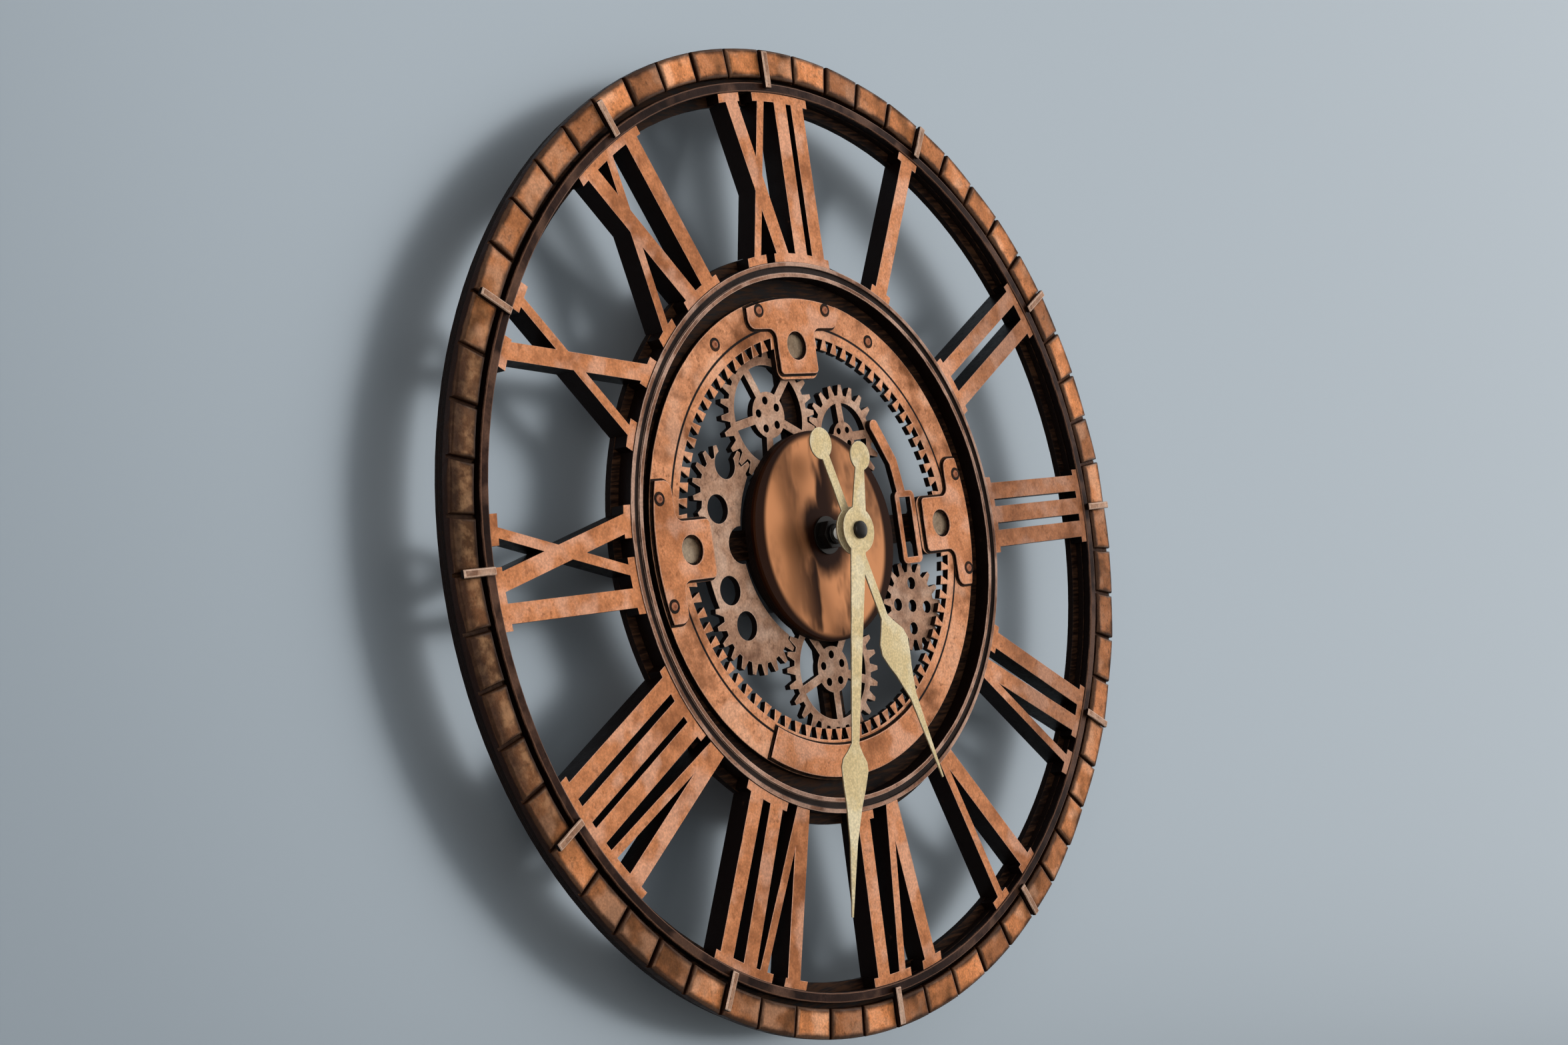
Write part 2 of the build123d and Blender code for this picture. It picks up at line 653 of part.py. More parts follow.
def left_gear_plate():
    """Two toothed lobes joined round the centre disc, drilled along an arc."""
    towards = bearing_to(upper_left_place, upper_right_place)
    upper_start = meshing_start(towards, UPPER_LEFT_TEETH,
                                bearing_to(upper_left_place, upper_lobe_place),
                                UPPER_LOBE_TEETH)
    lower_start = bearing_to(lower_lobe_place, lower_place) + 180 / LOWER_LOBE_TEETH
    inner = DISC_RADIUS + DISC_GAP
    outer = plate_hole_circle + ROUND_HOLE_RADIUS + RIM_WIDTH
    web = annulus(inner, outer)
    reach = 2 * CLOCK_RADIUS
    upper = bearing_to((0, 0), upper_lobe_place)
    lower = bearing_to((0, 0), lower_lobe_place)
    web &= polygon([(0, 0), polar(reach, upper), polar(reach, lower)])
    plate = web + gear_face(UPPER_LOBE_TEETH, upper_start, upper_lobe_place)
    plate += gear_face(LOWER_LOBE_TEETH, lower_start, lower_lobe_place)
    plate -= Circle(inner)
    for bearing in PLATE_HOLE_BEARINGS:
        plate -= Pos(*polar(plate_hole_circle, bearing)) * Circle(ROUND_HOLE_RADIUS)
    plate -= Pos(-inner, 0) * Circle(NOTCH_RADIUS)
    whole = plate.faces().sort_by(SortBy.AREA)[-1]
    save("left_gear_plate", flat(Sketch() + whole, carrier_high, base_high))


def slotted_link():
    """A slotted bar beside the centre disc, with an arm that bows up to the right-hand gear."""
    right = tongue_reach - LINK_CLEAR
    middle = right - LINK_WIDTH / 2
    body = Pos(middle, 0) * RectangleRounded(LINK_WIDTH, 2 * LINK_HALF_LENGTH, LINK_BAR)
    slot = Pos(middle, 0) * Rectangle(LINK_WIDTH - 2 * LINK_BAR,
                                      2 * (LINK_HALF_LENGTH - LINK_BAR))
    start = (middle - LINK_BAR / 2, LINK_HALF_LENGTH - LINK_BAR)
    rim = polar(root_radius(UPPER_RIGHT_TEETH), LINK_ARM_BEARING, upper_right_place)
    bow = ((start[0] + rim[0]) / 2 + LINK_ARM_BOW, (start[1] + rim[1]) / 2)
    arm = bar(start, bow, LINK_ARM_WIDTH) + bar(bow, rim, LINK_ARM_WIDTH)
    arm += [Pos(*place) * Circle(LINK_ARM_WIDTH / 2) for place in (bow, rim)]
    save("slotted_link", flat(body + arm - slot, base_high, dial_high))


def carrier_cross():
    """The hidden cross that holds the rings on the movement, with eyes behind the brackets."""
    eye = BRACKET_HOLE_RADIUS + CUT
    reach = dial_back_bore + ARM_REACH_LAP
    cross = Circle(CARRIER_RADIUS)
    for turn in (0, 90, 180, 270):
        end = polar(reach, turn)
        foot_start = polar(dial_back_bore, turn)
        cross += bar((0, 0), end, ARM_WIDTH) + bar(foot_start, end, ARM_FOOT_WIDTH)
        if turn != 270:
            place = polar(bracket_hole_reach, turn)
            cross += Pos(*place) * Circle(eye + ARM_EYE_WALL)
            cross -= Pos(*place) * Circle(eye)
    cross -= Circle(BUSH_RADIUS + BUSH_CLEARANCE)
    save("carrier_cross", flat(cross, carrier_low, carrier_high))


def centre_stack():
    """Core between the gears, dark spacer, and the polished disc in front."""
    bore = BUSH_RADIUS + BUSH_CLEARANCE
    save("core_disc", flat(annulus(bore, core_radius), carrier_high, base_high))
    save("disc_spacer", flat(annulus(bore, DISC_RADIUS - SPACER_INSET), base_high, spacer_high))
    disc = flat(annulus(bore, DISC_RADIUS), spacer_high, disc_high)
    edge = disc.edges().filter_by(GeomType.CIRCLE).sort_by(Axis.Z)[-2:].sort_by(SortBy.RADIUS)[-1]
    save("centre_disc", chamfer(edge, DISC_EDGE))


# Places in the movement, all from the centre arbor
inner_half = case_width / 2 - CASE_WALL
front_inside = CASE_DEPTH - FRONT_WALL
battery_y = -(case_width / 2 - CASE_WALL - BATTERY_RADIUS - BAY_CLEARANCE)
battery_height = front_inside - BATTERY_RADIUS - BAY_CLEARANCE
bay_top = battery_y + BATTERY_RADIUS + BAY_CLEARANCE
train_bottom = bay_top + CASE_WALL
hour_module = MOTION_MODULE * (INTERMEDIATE_TEETH + CANNON_TEETH) / (
    HOUR_TEETH + INTERMEDIATE_PINION_TEETH)
motion_distance = mesh_distance(INTERMEDIATE_TEETH, CANNON_TEETH, MOTION_MODULE, 0)
intermediate_place = polar(motion_distance, INTERMEDIATE_BEARING)
knob_place = polar(motion_distance, KNOB_BEARING, intermediate_place)
third_place = polar(mesh_distance(CENTRE_TEETH, THIRD_PINION_TEETH, CENTRE_MODULE, 0),
                    THIRD_BEARING)
seconds_place = polar(mesh_distance(THIRD_TEETH, SECONDS_PINION_TEETH, TRAIN_MODULE, 0),
                      SECONDS_BEARING, third_place)
fifth_place = polar(mesh_distance(SECONDS_TEETH, FIFTH_PINION_TEETH, TRAIN_MODULE, 0),
                    FIFTH_BEARING, seconds_place)
rotor_place = polar(mesh_distance(FIFTH_TEETH, ROTOR_PINION_TEETH, TRAIN_MODULE, 0),
                    ROTOR_BEARING, fifth_place)
coil_left = -inner_half + 2 * POST_RADIUS + COIL_SIDE_GAP + STATOR_LEG
coil_place = (coil_left + BOBBIN_FLANGE + COIL_LENGTH / 2,
              train_bottom + COIL_RADIUS + COVER_GAP)

# Levels in the movement, from the cover forwards
arbor_low = COVER_THICKNESS + END_PLAY
arbor_high = front_inside - END_PLAY
third_wheel_low = COVER_THICKNESS + BOSS_HEIGHT + TRAIN_GAP
third_wheel_high = third_wheel_low + TRAIN_WHEEL_THICKNESS
clutch_low = third_wheel_high + TRAIN_GAP
clutch_high = clutch_low + CLUTCH_THICKNESS
centre_wheel_low = clutch_high + END_PLAY
centre_wheel_high = centre_wheel_low + TRAIN_WHEEL_THICKNESS
seconds_wheel_low = centre_wheel_high + TRAIN_GAP
seconds_wheel_high = seconds_wheel_low + TRAIN_WHEEL_THICKNESS
cannon_low = seconds_wheel_high + END_PLAY
intermediate_low = cannon_low + END_PLAY
intermediate_high = intermediate_low + WHEEL_THICKNESS
flange_low = front_inside - BUSH_FLANGE
hour_wheel_high = flange_low - TRAIN_GAP
hour_wheel_low = hour_wheel_high - WHEEL_THICKNESS
cannon_high = hour_wheel_low - END_PLAY
magnet_low = centre_wheel_high + END_PLAY
fifth_wheel_low = magnet_low + MAGNET_LENGTH + TRAIN_GAP
fifth_wheel_high = fifth_wheel_low + TRAIN_WHEEL_THICKNESS
stator_low = magnet_low + (MAGNET_LENGTH - STATOR_THICKNESS) / 2

hour_tube_bore = MINUTE_ARBOR_RADIUS + RUNNING_GAP
hour_tube_radius = hour_tube_bore + HOUR_TUBE_WALL
bush_bore = hour_tube_radius + RUNNING_GAP
bush_high = disc_high + BUSH_PROUD
hour_hand_low = face_high + HOUR_HAND_RISE
hour_hand_high = hour_hand_low + HAND_THICKNESS
hour_tube_high = hour_hand_high + END_PLAY
minute_hand_low = hour_hand_low + HAND_STEP
minute_hand_high = minute_hand_low + HAND_THICKNESS

ARBORS = ((third_place, ARBOR_RADIUS), (seconds_place, ARBOR_RADIUS),
          (fifth_place, ARBOR_RADIUS), (rotor_place, ARBOR_RADIUS),
          (intermediate_place, INTERMEDIATE_ARBOR_RADIUS))


def tube(place, inner, outer, low, high):
    """A round tube, or a rod where the inner radius is zero."""
    section = annulus(inner, outer) if inner else Circle(outer)
    return flat(Pos(*place) * section, low, high)


def boss(place, bore, wall, low, high):
    """An eight-sided boss: a drilled one keeps its whole wall, a solid one its corners within."""
    section = RegularPolygon(bore + wall, BOSS_SIDES, major_radius=bore == 0)
    if bore:
        section -= Circle(bore)
    return flat(Pos(*place) * section, low, high)


def movement_case():
    """The moulded case: front wall, side walls, a battery bay and bearings for the arbors."""
    outline = RectangleRounded(case_width, case_width, CASE_CORNER)
    case = flat(outline, 0, CASE_DEPTH)
    top_middle = (train_bottom + inner_half) / 2
    room = Pos(0, top_middle) * Rectangle(2 * inner_half, inner_half - train_bottom)
    case -= flat(room, -CUT, front_inside)
    bay = Pos(0, (bay_top - inner_half) / 2) * Rectangle(2 * inner_half, inner_half + bay_top)
    case -= flat(bay, -CUT, front_inside)
    case -= tube((0, 0), 0, BUSH_RADIUS, front_inside - CUT, CASE_DEPTH + CUT)
    for place, radius in ARBORS:
        case += boss(place, radius + RUNNING_GAP, BOSS_WALL, front_inside - BOSS_HEIGHT,
                     front_inside)
    case += boss(knob_place, KNOB_SHAFT_RADIUS + RUNNING_GAP, 2 * BOSS_WALL,
                 front_inside - BOSS_HEIGHT, front_inside)
    for x in (-1, 1):
        for y in (train_bottom + POST_RADIUS, inner_half - POST_RADIUS):
            case += boss((x * (inner_half - POST_RADIUS), y), 0, POST_RADIUS, COVER_THICKNESS,
                         front_inside)
    front = case.faces().sort_by(Axis.Z)[-1].outer_wire().edges()
    save("movement_case", chamfer(front, CASE_EDGE))


def rear_cover():
    """The cover behind the wheels, flush with the case, with the rear bearings on it."""
    middle = (train_bottom + inner_half) / 2
    face = Pos(0, middle) * Rectangle(2 * (inner_half - COVER_GAP),
                                      inner_half - train_bottom - 2 * COVER_GAP)
    cover = flat(face, 0, COVER_THICKNESS)
    cover -= tube(knob_place, 0, KNOB_RADIUS + KNOB_CLEARANCE, -CUT, COVER_THICKNESS + CUT)
    for place, radius in ARBORS + (((0, 0), MINUTE_PIVOT_RADIUS),):
        cover += boss(place, radius + RUNNING_GAP, BOSS_WALL, COVER_THICKNESS,
                      COVER_THICKNESS + BOSS_HEIGHT)
    for place in stator_ends() + (rotor_post_place(),):
        cover += boss(place, 0, STATOR_LEG / 2, COVER_THICKNESS, stator_low)
    for place in board_posts():
        cover += boss(place, 0, POST_RADIUS / 2, COVER_THICKNESS, COVER_THICKNESS + BOARD_LIFT)
    save("movement_rear_cover", cover)


def hanger():
    """The hanging tab on top of the case: a flange on the case and an upright with a hole."""
    top = case_width / 2
    flange = Pos(0, top + HANGER_FLANGE / 2) * Rectangle(HANGER_WIDTH, HANGER_FLANGE)
    upright = Pos(0, top + HANGER_HEIGHT / 2) * Rectangle(HANGER_WIDTH, HANGER_HEIGHT)
    upright = fillet(upright.vertices().group_by(Axis.Y)[-1], HANGER_WIDTH / 4)
    hole_y = top + HANGER_HEIGHT - HANGER_HOLE_RADIUS - HANGER_HOLE_WALL
    upright -= Pos(0, hole_y) * Circle(HANGER_HOLE_RADIUS)
    low = COVER_THICKNESS
    body = flat(upright, low, low + HANGER_THICKNESS) + flat(flange, low, low + HANGER_DEPTH)
    save("hanger", body)


def centre_fixing():
    """Rubber washer, threaded bush, washer and nut that clamp the dial to the movement."""
    save("rubber_washer", tube((0, 0), BUSH_RADIUS + BUSH_CLEARANCE, RUBBER_RADIUS, CASE_DEPTH,
                               carrier_low))
    bush = tube((0, 0), bush_bore, BUSH_RADIUS, flange_low, bush_high)
    bush += tube((0, 0), bush_bore, BUSH_FLANGE_RADIUS, flange_low, front_inside)
    save("threaded_bush", bush)
    washer = tube((0, 0), BUSH_RADIUS + BUSH_CLEARANCE, WASHER_RADIUS, disc_high, nut_low)
    save("flat_washer", washer)
    nut = RegularPolygon(NUT_FLATS / 2, NUT_SIDES, major_radius=False)
    nut -= Circle(BUSH_RADIUS + RUNNING_GAP)
    save("hex_nut", flat(nut, nut_low, nut_low + NUT_HEIGHT))


def minute_arbor():
    """The minute arbor with its rear pivot, friction collar and cannon pinion."""
    arbor = tube((0, 0), 0, MINUTE_PIVOT_RADIUS, arbor_low, clutch_low)
    arbor += tube((0, 0), 0, CLUTCH_RADIUS, clutch_low, clutch_high)
    arbor += tube((0, 0), 0, MINUTE_ARBOR_RADIUS, clutch_high, minute_hand_high + ARBOR_TOP)
    arbor += flat(pinion_face(CANNON_TEETH, INTERMEDIATE_BEARING), cannon_low, cannon_high)
    save("minute_arbor", arbor)


def intermediate_wheel():
    """The wheel and pinion that bring the minute arbor down to the hour wheel."""
    start = INTERMEDIATE_BEARING + 180 + 180 / INTERMEDIATE_TEETH
    wheel = tube(intermediate_place, 0, INTERMEDIATE_ARBOR_RADIUS, arbor_low, arbor_high)
    face = pinion_face(INTERMEDIATE_TEETH, start, intermediate_place)
    wheel += flat(face, intermediate_low, intermediate_high)
    pinion = pinion_face(INTERMEDIATE_PINION_TEETH, INTERMEDIATE_BEARING + 180,
                         intermediate_place, hour_module)
    wheel += flat(pinion, intermediate_high, hour_wheel_high + END_PLAY)
    save("intermediate_wheel", wheel)


def hour_wheel():
    """The hour wheel and the tube that carries the hour hand through the bush."""
    start = INTERMEDIATE_BEARING + 180 / HOUR_TEETH
    wheel = flat(pinion_face(HOUR_TEETH, start, module=hour_module), hour_wheel_low,
                 hour_wheel_high)
    wheel += tube((0, 0), 0, HOUR_HUB_RADIUS, hour_wheel_low, flange_low - END_PLAY)
    wheel += tube((0, 0), 0, hour_tube_radius, hour_wheel_low, hour_tube_high)
    save("hour_wheel", wheel - tube((0, 0), 0, hour_tube_bore, 0, hour_tube_high + CUT))


def setting_knob():
    """The ridged knob behind the case, whose pinion turns the intermediate wheel."""
    ridged = toothed(KNOB_RIDGES, KNOB_RADIUS - KNOB_RIDGE_DEPTH, KNOB_RADIUS,
                     centre=knob_place)
    knob = flat(ridged, KNOB_RECESS, KNOB_RECESS + KNOB_HEIGHT)
    knob += tube(knob_place, 0, KNOB_SHAFT_RADIUS, KNOB_RECESS, arbor_high)
    wheel_start = INTERMEDIATE_BEARING + 180 + 180 / INTERMEDIATE_TEETH
    start = meshing_start(wheel_start, INTERMEDIATE_TEETH, KNOB_BEARING, CANNON_TEETH)
    face = pinion_face(CANNON_TEETH, start, knob_place)
    knob += flat(face, cannon_low, intermediate_high + END_PLAY)
    save("setting_knob", knob)


def train_wheel(name, place, teeth, wheel_start, wheel_low, pinion_teeth, pinion_start,
                pinion_low, pinion_high, module=TRAIN_MODULE, pinion_module=TRAIN_MODULE):
    """A wheel and pinion on a thin arbor between the case and the cover."""
    piece = tube(place, 0, ARBOR_RADIUS, arbor_low, arbor_high)
    piece += flat(pinion_face(teeth, wheel_start, place, module), wheel_low,
                  wheel_low + TRAIN_WHEEL_THICKNESS)
    pinion = pinion_face(pinion_teeth, pinion_start, place, pinion_module)
    piece += flat(pinion, pinion_low, pinion_high)
    save(name, piece)


def step_train():
    """Centre, third, seconds and fifth wheels, and the rotor that steps them."""
    hub = tube((0, 0), 0, CENTRE_HUB_RADIUS, centre_wheel_low, cannon_low - END_PLAY)
    centre = flat(pinion_face(CENTRE_TEETH, THIRD_BEARING, module=CENTRE_MODULE),
                  centre_wheel_low, centre_wheel_high) + hub
    bore = MINUTE_ARBOR_RADIUS + RUNNING_GAP
    save("centre_wheel", centre - tube((0, 0), 0, bore, 0, cannon_high))
    third_pinion = THIRD_BEARING + 180 + 180 / THIRD_PINION_TEETH
    train_wheel("third_wheel", third_place, THIRD_TEETH, SECONDS_BEARING, third_wheel_low,
                THIRD_PINION_TEETH, third_pinion, third_wheel_high,
                seconds_wheel_low - END_PLAY, pinion_module=CENTRE_MODULE)
    seconds_pinion = SECONDS_BEARING + 180 + 180 / SECONDS_PINION_TEETH
    train_wheel("seconds_wheel", seconds_place, SECONDS_TEETH, FIFTH_BEARING,
                seconds_wheel_low, SECONDS_PINION_TEETH, seconds_pinion,
                third_wheel_low - END_PLAY, clutch_low)
    fifth_pinion = FIFTH_BEARING + 180 + 180 / FIFTH_PINION_TEETH
    train_wheel("fifth_wheel", fifth_place, FIFTH_TEETH, ROTOR_BEARING, fifth_wheel_low,
                FIFTH_PINION_TEETH, fifth_pinion, seconds_wheel_low - END_PLAY,
                fifth_wheel_low)
    rotor = tube(rotor_place, 0, ARBOR_RADIUS, arbor_low, arbor_high)
    rotor += tube(rotor_place, 0, MAGNET_RADIUS, magnet_low, magnet_low + MAGNET_LENGTH)
    start = ROTOR_BEARING + 180 + 180 / ROTOR_PINION_TEETH
    pinion = pinion_face(ROTOR_PINION_TEETH, start, rotor_place, TRAIN_MODULE)
    save("rotor", rotor + flat(pinion, fifth_wheel_low - END_PLAY, fifth_wheel_high + END_PLAY))


def stator_ends():
    """Where the two legs of the stator meet the ends of the coil."""
    reach = COIL_LENGTH / 2 + BOBBIN_FLANGE + STATOR_LEG / 2
    return ((coil_place[0] - reach, coil_place[1]), (coil_place[0] + reach, coil_place[1]))


def rotor_post_place():
    """The post that carries the stator beside the rotor."""
    ring = MAGNET_RADIUS + MAGNET_AIR_GAP + STATOR_WALL + STATOR_LEG / 2
    return polar(ring, 90, rotor_place)


def coil_and_stator():
    """The drive coil on its bobbin, and the stator that leads its field round the rotor."""
    pole = MAGNET_RADIUS + MAGNET_AIR_GAP
    stator = Pos(*rotor_place) * Circle(pole + STATOR_WALL)
    for end in stator_ends():
        knee = (end[0], end[1] + COIL_RADIUS + STATOR_LEG)
        stator += bar(rotor_place, knee, STATOR_LEG) + bar(knee, end, STATOR_LEG)
        stator += [Pos(*place) * Circle(STATOR_LEG / 2) for place in (knee, end)]
    post = rotor_post_place()
    stator += bar(rotor_place, post, STATOR_LEG) + Pos(*post) * Circle(STATOR_LEG / 2)
    stator -= Pos(*rotor_place) * Circle(pole)
    save("stator", flat(stator, stator_low, stator_low + STATOR_THICKNESS))
    middle = stator_low + STATOR_THICKNESS / 2
    length = COIL_LENGTH + 2 * BOBBIN_FLANGE
    coil = Cylinder(COIL_RADIUS, length)
    waist = Cylinder(COIL_RADIUS, COIL_LENGTH) - Cylinder(COIL_RADIUS - BOBBIN_FLANGE / 2,
                                                          COIL_LENGTH)
    save("drive_coil", Pos(*coil_place, middle) * Rot(0, 90, 0) * (coil - waist))


def board_centre():
    """The middle of the circuit board, in the lower right corner of the case."""
    right = inner_half - 2 * POST_RADIUS - COVER_GAP
    return (right - BOARD_WIDTH / 2, train_bottom + BOARD_DEPTH / 2 + COVER_GAP)


def board_posts():
    """Where the board stands on the cover."""
    x, y = board_centre()
    shift = BOARD_WIDTH / 2 - POST_RADIUS
    return ((x - shift, y), (x + shift, y))


def circuit_board():
    """The board that times the steps, with the crystal can lying on it."""
    x, y = board_centre()
    low = COVER_THICKNESS + BOARD_LIFT
    board = flat(Pos(x, y) * Rectangle(BOARD_WIDTH, BOARD_DEPTH), low, low + BOARD_THICKNESS)
    save("circuit_board", board)
    can = Rot(0, 90, 0) * Cylinder(CRYSTAL_RADIUS, CRYSTAL_LENGTH)
    lie = low + BOARD_THICKNESS + CRYSTAL_RADIUS
    save("quartz_crystal", Pos(x, y - BOARD_DEPTH / 4, lie) * can)


def battery():
    """A cell of the common small size, lying in the bay with its nub to the right."""
    length = BATTERY_LENGTH + BATTERY_NUB
    cell = Cylinder(BATTERY_RADIUS, BATTERY_LENGTH)
    cell = Pos(0, 0, -BATTERY_NUB / 2) * chamfer(cell.edges(), BATTERY_NUB / 2)
    nub = Pos(0, 0, length / 2 - BATTERY_NUB / 2) * Cylinder(BATTERY_NUB_RADIUS, BATTERY_NUB)
    save("battery", Pos(0, battery_y, battery_height) * Rot(0, 90, 0) * (cell + nub))


def battery_contacts():
    """A plate with a dimple at each end of the bay, pressed towards the cell."""
    length = BATTERY_LENGTH + BATTERY_NUB
    plate = Box(CONTACT_THICKNESS, CONTACT_WIDTH, CONTACT_WIDTH)
    dimple = Rot(0, 90, 0) * Cylinder(BATTERY_NUB_RADIUS, CONTACT_DIMPLE)
    contact = Pos(CONTACT_DIMPLE / 2, 0, 0) * dimple
    contact += Pos(CONTACT_DIMPLE + CONTACT_THICKNESS / 2, 0, 0) * plate
    contact = Pos(length / 2 + CONTACT_GAP, battery_y, battery_height) * contact
    other = Pos(0, battery_y, battery_height) * Rot(0, 0, 180) * Pos(
        0, -battery_y, -battery_height) * contact
    save("battery_contacts", Compound([contact, other]))


def blade(sections, ball, tail, hub, bore):
    """A hand: hub, tail ball and a blade whose half widths follow its length."""
    left = [(-half, along) for half, along in reversed(sections)]
    shaft = polygon([(NECK_WIDTH / 2, -tail)] + sections + left + [(-NECK_WIDTH / 2, -tail)])
    return shaft + Circle(hub) + Pos(0, -tail) * Circle(ball) - Circle(bore)


def hand(name, face, angle, low, bore):
    """A hand of thin sheet with a collar under it, turned to its reading."""
    body = flat(face, low, low + HAND_THICKNESS)
    body += tube((0, 0), bore, HAND_COLLAR_RADIUS, low - HAND_COLLAR, low)
    save(name, Rot(0, 0, -angle) * body)


def spade_sections(root_width, spade, rise, fall, width, length):
    """Half widths along a hand: shaft, swelling spade, then a long point."""
    wide = width / 2
    narrow = NECK_WIDTH / 2
    neck = spade - rise
    sections = [(root_width / 2, 0), (narrow, neck)]
    for step, share in enumerate(SPADE_RISE_SHARES, start=1):
        sections.append((wide * share, neck + step * rise / 3))
    sections.append((wide, spade))
    for step, share in enumerate(SPADE_FALL_SHARES, start=1):
        sections.append((wide * share, spade + step * fall / 4))
    return sections + [(narrow, spade + fall), (HAND_THICKNESS / 2, length)]


def hands():
    """The hour hand and the minute hand, both with a spade and a tail ball."""
    hour_bore = hour_tube_radius + HAND_FIT
    hour = spade_sections(HOUR_ROOT_WIDTH, HOUR_SPADE, HOUR_SPADE_RISE, HOUR_SPADE_FALL,
                          HOUR_SPADE_WIDTH, HOUR_LENGTH)
    face = blade(hour, HOUR_BALL_RADIUS, HOUR_TAIL, HOUR_HUB_HAND_RADIUS, hour_bore)
    hand("hour_hand", face, HOUR_ANGLE, hour_hand_low, hour_bore)
    minute_bore = MINUTE_ARBOR_RADIUS + HAND_FIT
    minute = spade_sections(MINUTE_ROOT_WIDTH, MINUTE_SPADE, MINUTE_SPADE_RISE,
                            MINUTE_SPADE_FALL, MINUTE_SPADE_WIDTH, MINUTE_LENGTH)
    face = blade(minute, MINUTE_BALL_RADIUS, MINUTE_TAIL, MINUTE_HUB_RADIUS, minute_bore)
    hand("minute_hand", face, MINUTE_ANGLE, minute_hand_low, minute_bore)


def cap_nut():
    """The domed nut that closes the minute arbor."""
    cap = tube((0, 0), 0, CAP_RADIUS, minute_hand_high, minute_hand_high + CAP_HEIGHT)
    cap = chamfer(cap.edges().sort_by(Axis.Z)[-1], CAP_EDGE)
    bore = MINUTE_ARBOR_RADIUS + HAND_FIT
    save("cap_nut", cap - tube((0, 0), 0, bore, 0, minute_hand_high + ARBOR_TOP + END_PLAY))


NUMERALS = ("xii", "i", "ii", "iii", "iv", "v", "vi", "vii", "viii", "ix", "x", "xi")

outer_rings()
brick_ring()
hour_markers()
for hour, text in enumerate(NUMERALS):
    numeral(hour, text)
inner_rings()
toothed_dial()
brackets()
lower_arc_plate()
rivets()
upper_gears()
lower_gears()
left_gear_plate()
slotted_link()
carrier_cross()
centre_stack()
movement_case()
rear_cover()
hanger()
centre_fixing()
minute_arbor()
intermediate_wheel()
hour_wheel()
setting_knob()
step_train()
coil_and_stator()
circuit_board()
battery()
battery_contacts()
hands()
cap_nut()

# The axes that the wheels turn on, for the joints
for axis, place in (("intermediate", intermediate_place), ("knob", knob_place),
                    ("third", third_place), ("seconds", seconds_place),
                    ("fifth", fifth_place), ("rotor", rotor_place)):
    print(f"{axis} axis: x {place[0]:.4f}, z {place[1]:.4f}")
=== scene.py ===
# %% [markdown]
# A wall clock cut from wooden sheet, stained black-brown and rubbed with copper paste, with
# cream hands and a small battery movement behind. The construction is already there as solid
# pieces at their real size. This lesson dresses them: it eases the cut edges, gives each piece
# its finish, adds what is too fine for the solids, and sets up the view of the photograph,
# from well round to the left and a little below the middle.

import json
import math
import random

import bmesh
import bpy
from mathutils import Matrix, Vector

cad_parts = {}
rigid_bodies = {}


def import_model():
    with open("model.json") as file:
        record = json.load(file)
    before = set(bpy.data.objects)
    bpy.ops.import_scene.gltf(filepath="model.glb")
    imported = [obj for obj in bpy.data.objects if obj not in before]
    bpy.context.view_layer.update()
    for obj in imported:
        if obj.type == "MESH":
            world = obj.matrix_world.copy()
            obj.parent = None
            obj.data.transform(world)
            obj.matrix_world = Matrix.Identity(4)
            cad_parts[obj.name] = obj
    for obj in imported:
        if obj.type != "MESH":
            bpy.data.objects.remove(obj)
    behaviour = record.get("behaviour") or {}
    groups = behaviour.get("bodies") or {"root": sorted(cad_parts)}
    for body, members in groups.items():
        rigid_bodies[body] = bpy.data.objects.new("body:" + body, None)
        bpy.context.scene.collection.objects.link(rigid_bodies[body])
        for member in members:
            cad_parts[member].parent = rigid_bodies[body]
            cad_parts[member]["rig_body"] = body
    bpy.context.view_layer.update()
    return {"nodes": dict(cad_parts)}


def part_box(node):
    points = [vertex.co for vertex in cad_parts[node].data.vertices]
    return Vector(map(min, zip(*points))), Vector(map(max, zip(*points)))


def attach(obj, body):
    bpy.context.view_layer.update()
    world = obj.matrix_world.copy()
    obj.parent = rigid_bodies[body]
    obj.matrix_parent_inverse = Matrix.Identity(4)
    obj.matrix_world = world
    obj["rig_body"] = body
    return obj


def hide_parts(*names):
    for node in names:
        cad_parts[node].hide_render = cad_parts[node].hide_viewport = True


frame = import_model()
nodes = frame["nodes"]
scene = bpy.context.scene
slot_of = {name: node.material_slots[0].material.name.split(".")[0]
           for name, node in nodes.items()}

# %% [markdown]
# The camera decides what every finish has to stand up to, so it comes first. It stands about a
# metre away, far round to the left, and it is tipped a little. Its place was found by laying the
# rims of the rings over the photograph. A long lens would flatten the ring, and a short one
# would stretch its near side, so the lens is named too.

# %% Camera
MM = 0.001
CAMERA_PLACE = Vector((-777.7, -685.3, -29.7)) * MM
CAMERA_TARGET = Vector((-26.4, -30.0, 6.8)) * MM
CAMERA_ROLL = math.radians(8.15)
CAMERA_LENS = 57.79
CAMERA_SENSOR = 36.0
CAMERA_NEAR = 10 * MM
CAMERA_FAR = 20


def make_camera():
    """A camera at the photograph's place, aimed, then rolled about its own axis."""
    camera = bpy.data.objects.new("camera", bpy.data.cameras.new("camera"))
    scene.collection.objects.link(camera)
    aim = (CAMERA_TARGET - CAMERA_PLACE).to_track_quat("-Z", "Y")
    turn = Matrix.Rotation(-CAMERA_ROLL, 4, "Z")
    camera.matrix_world = Matrix.Translation(CAMERA_PLACE) @ aim.to_matrix().to_4x4() @ turn
    camera.data.lens = CAMERA_LENS
    camera.data.sensor_width = CAMERA_SENSOR
    camera.data.clip_start = CAMERA_NEAR
    camera.data.clip_end = CAMERA_FAR
    scene.camera = camera


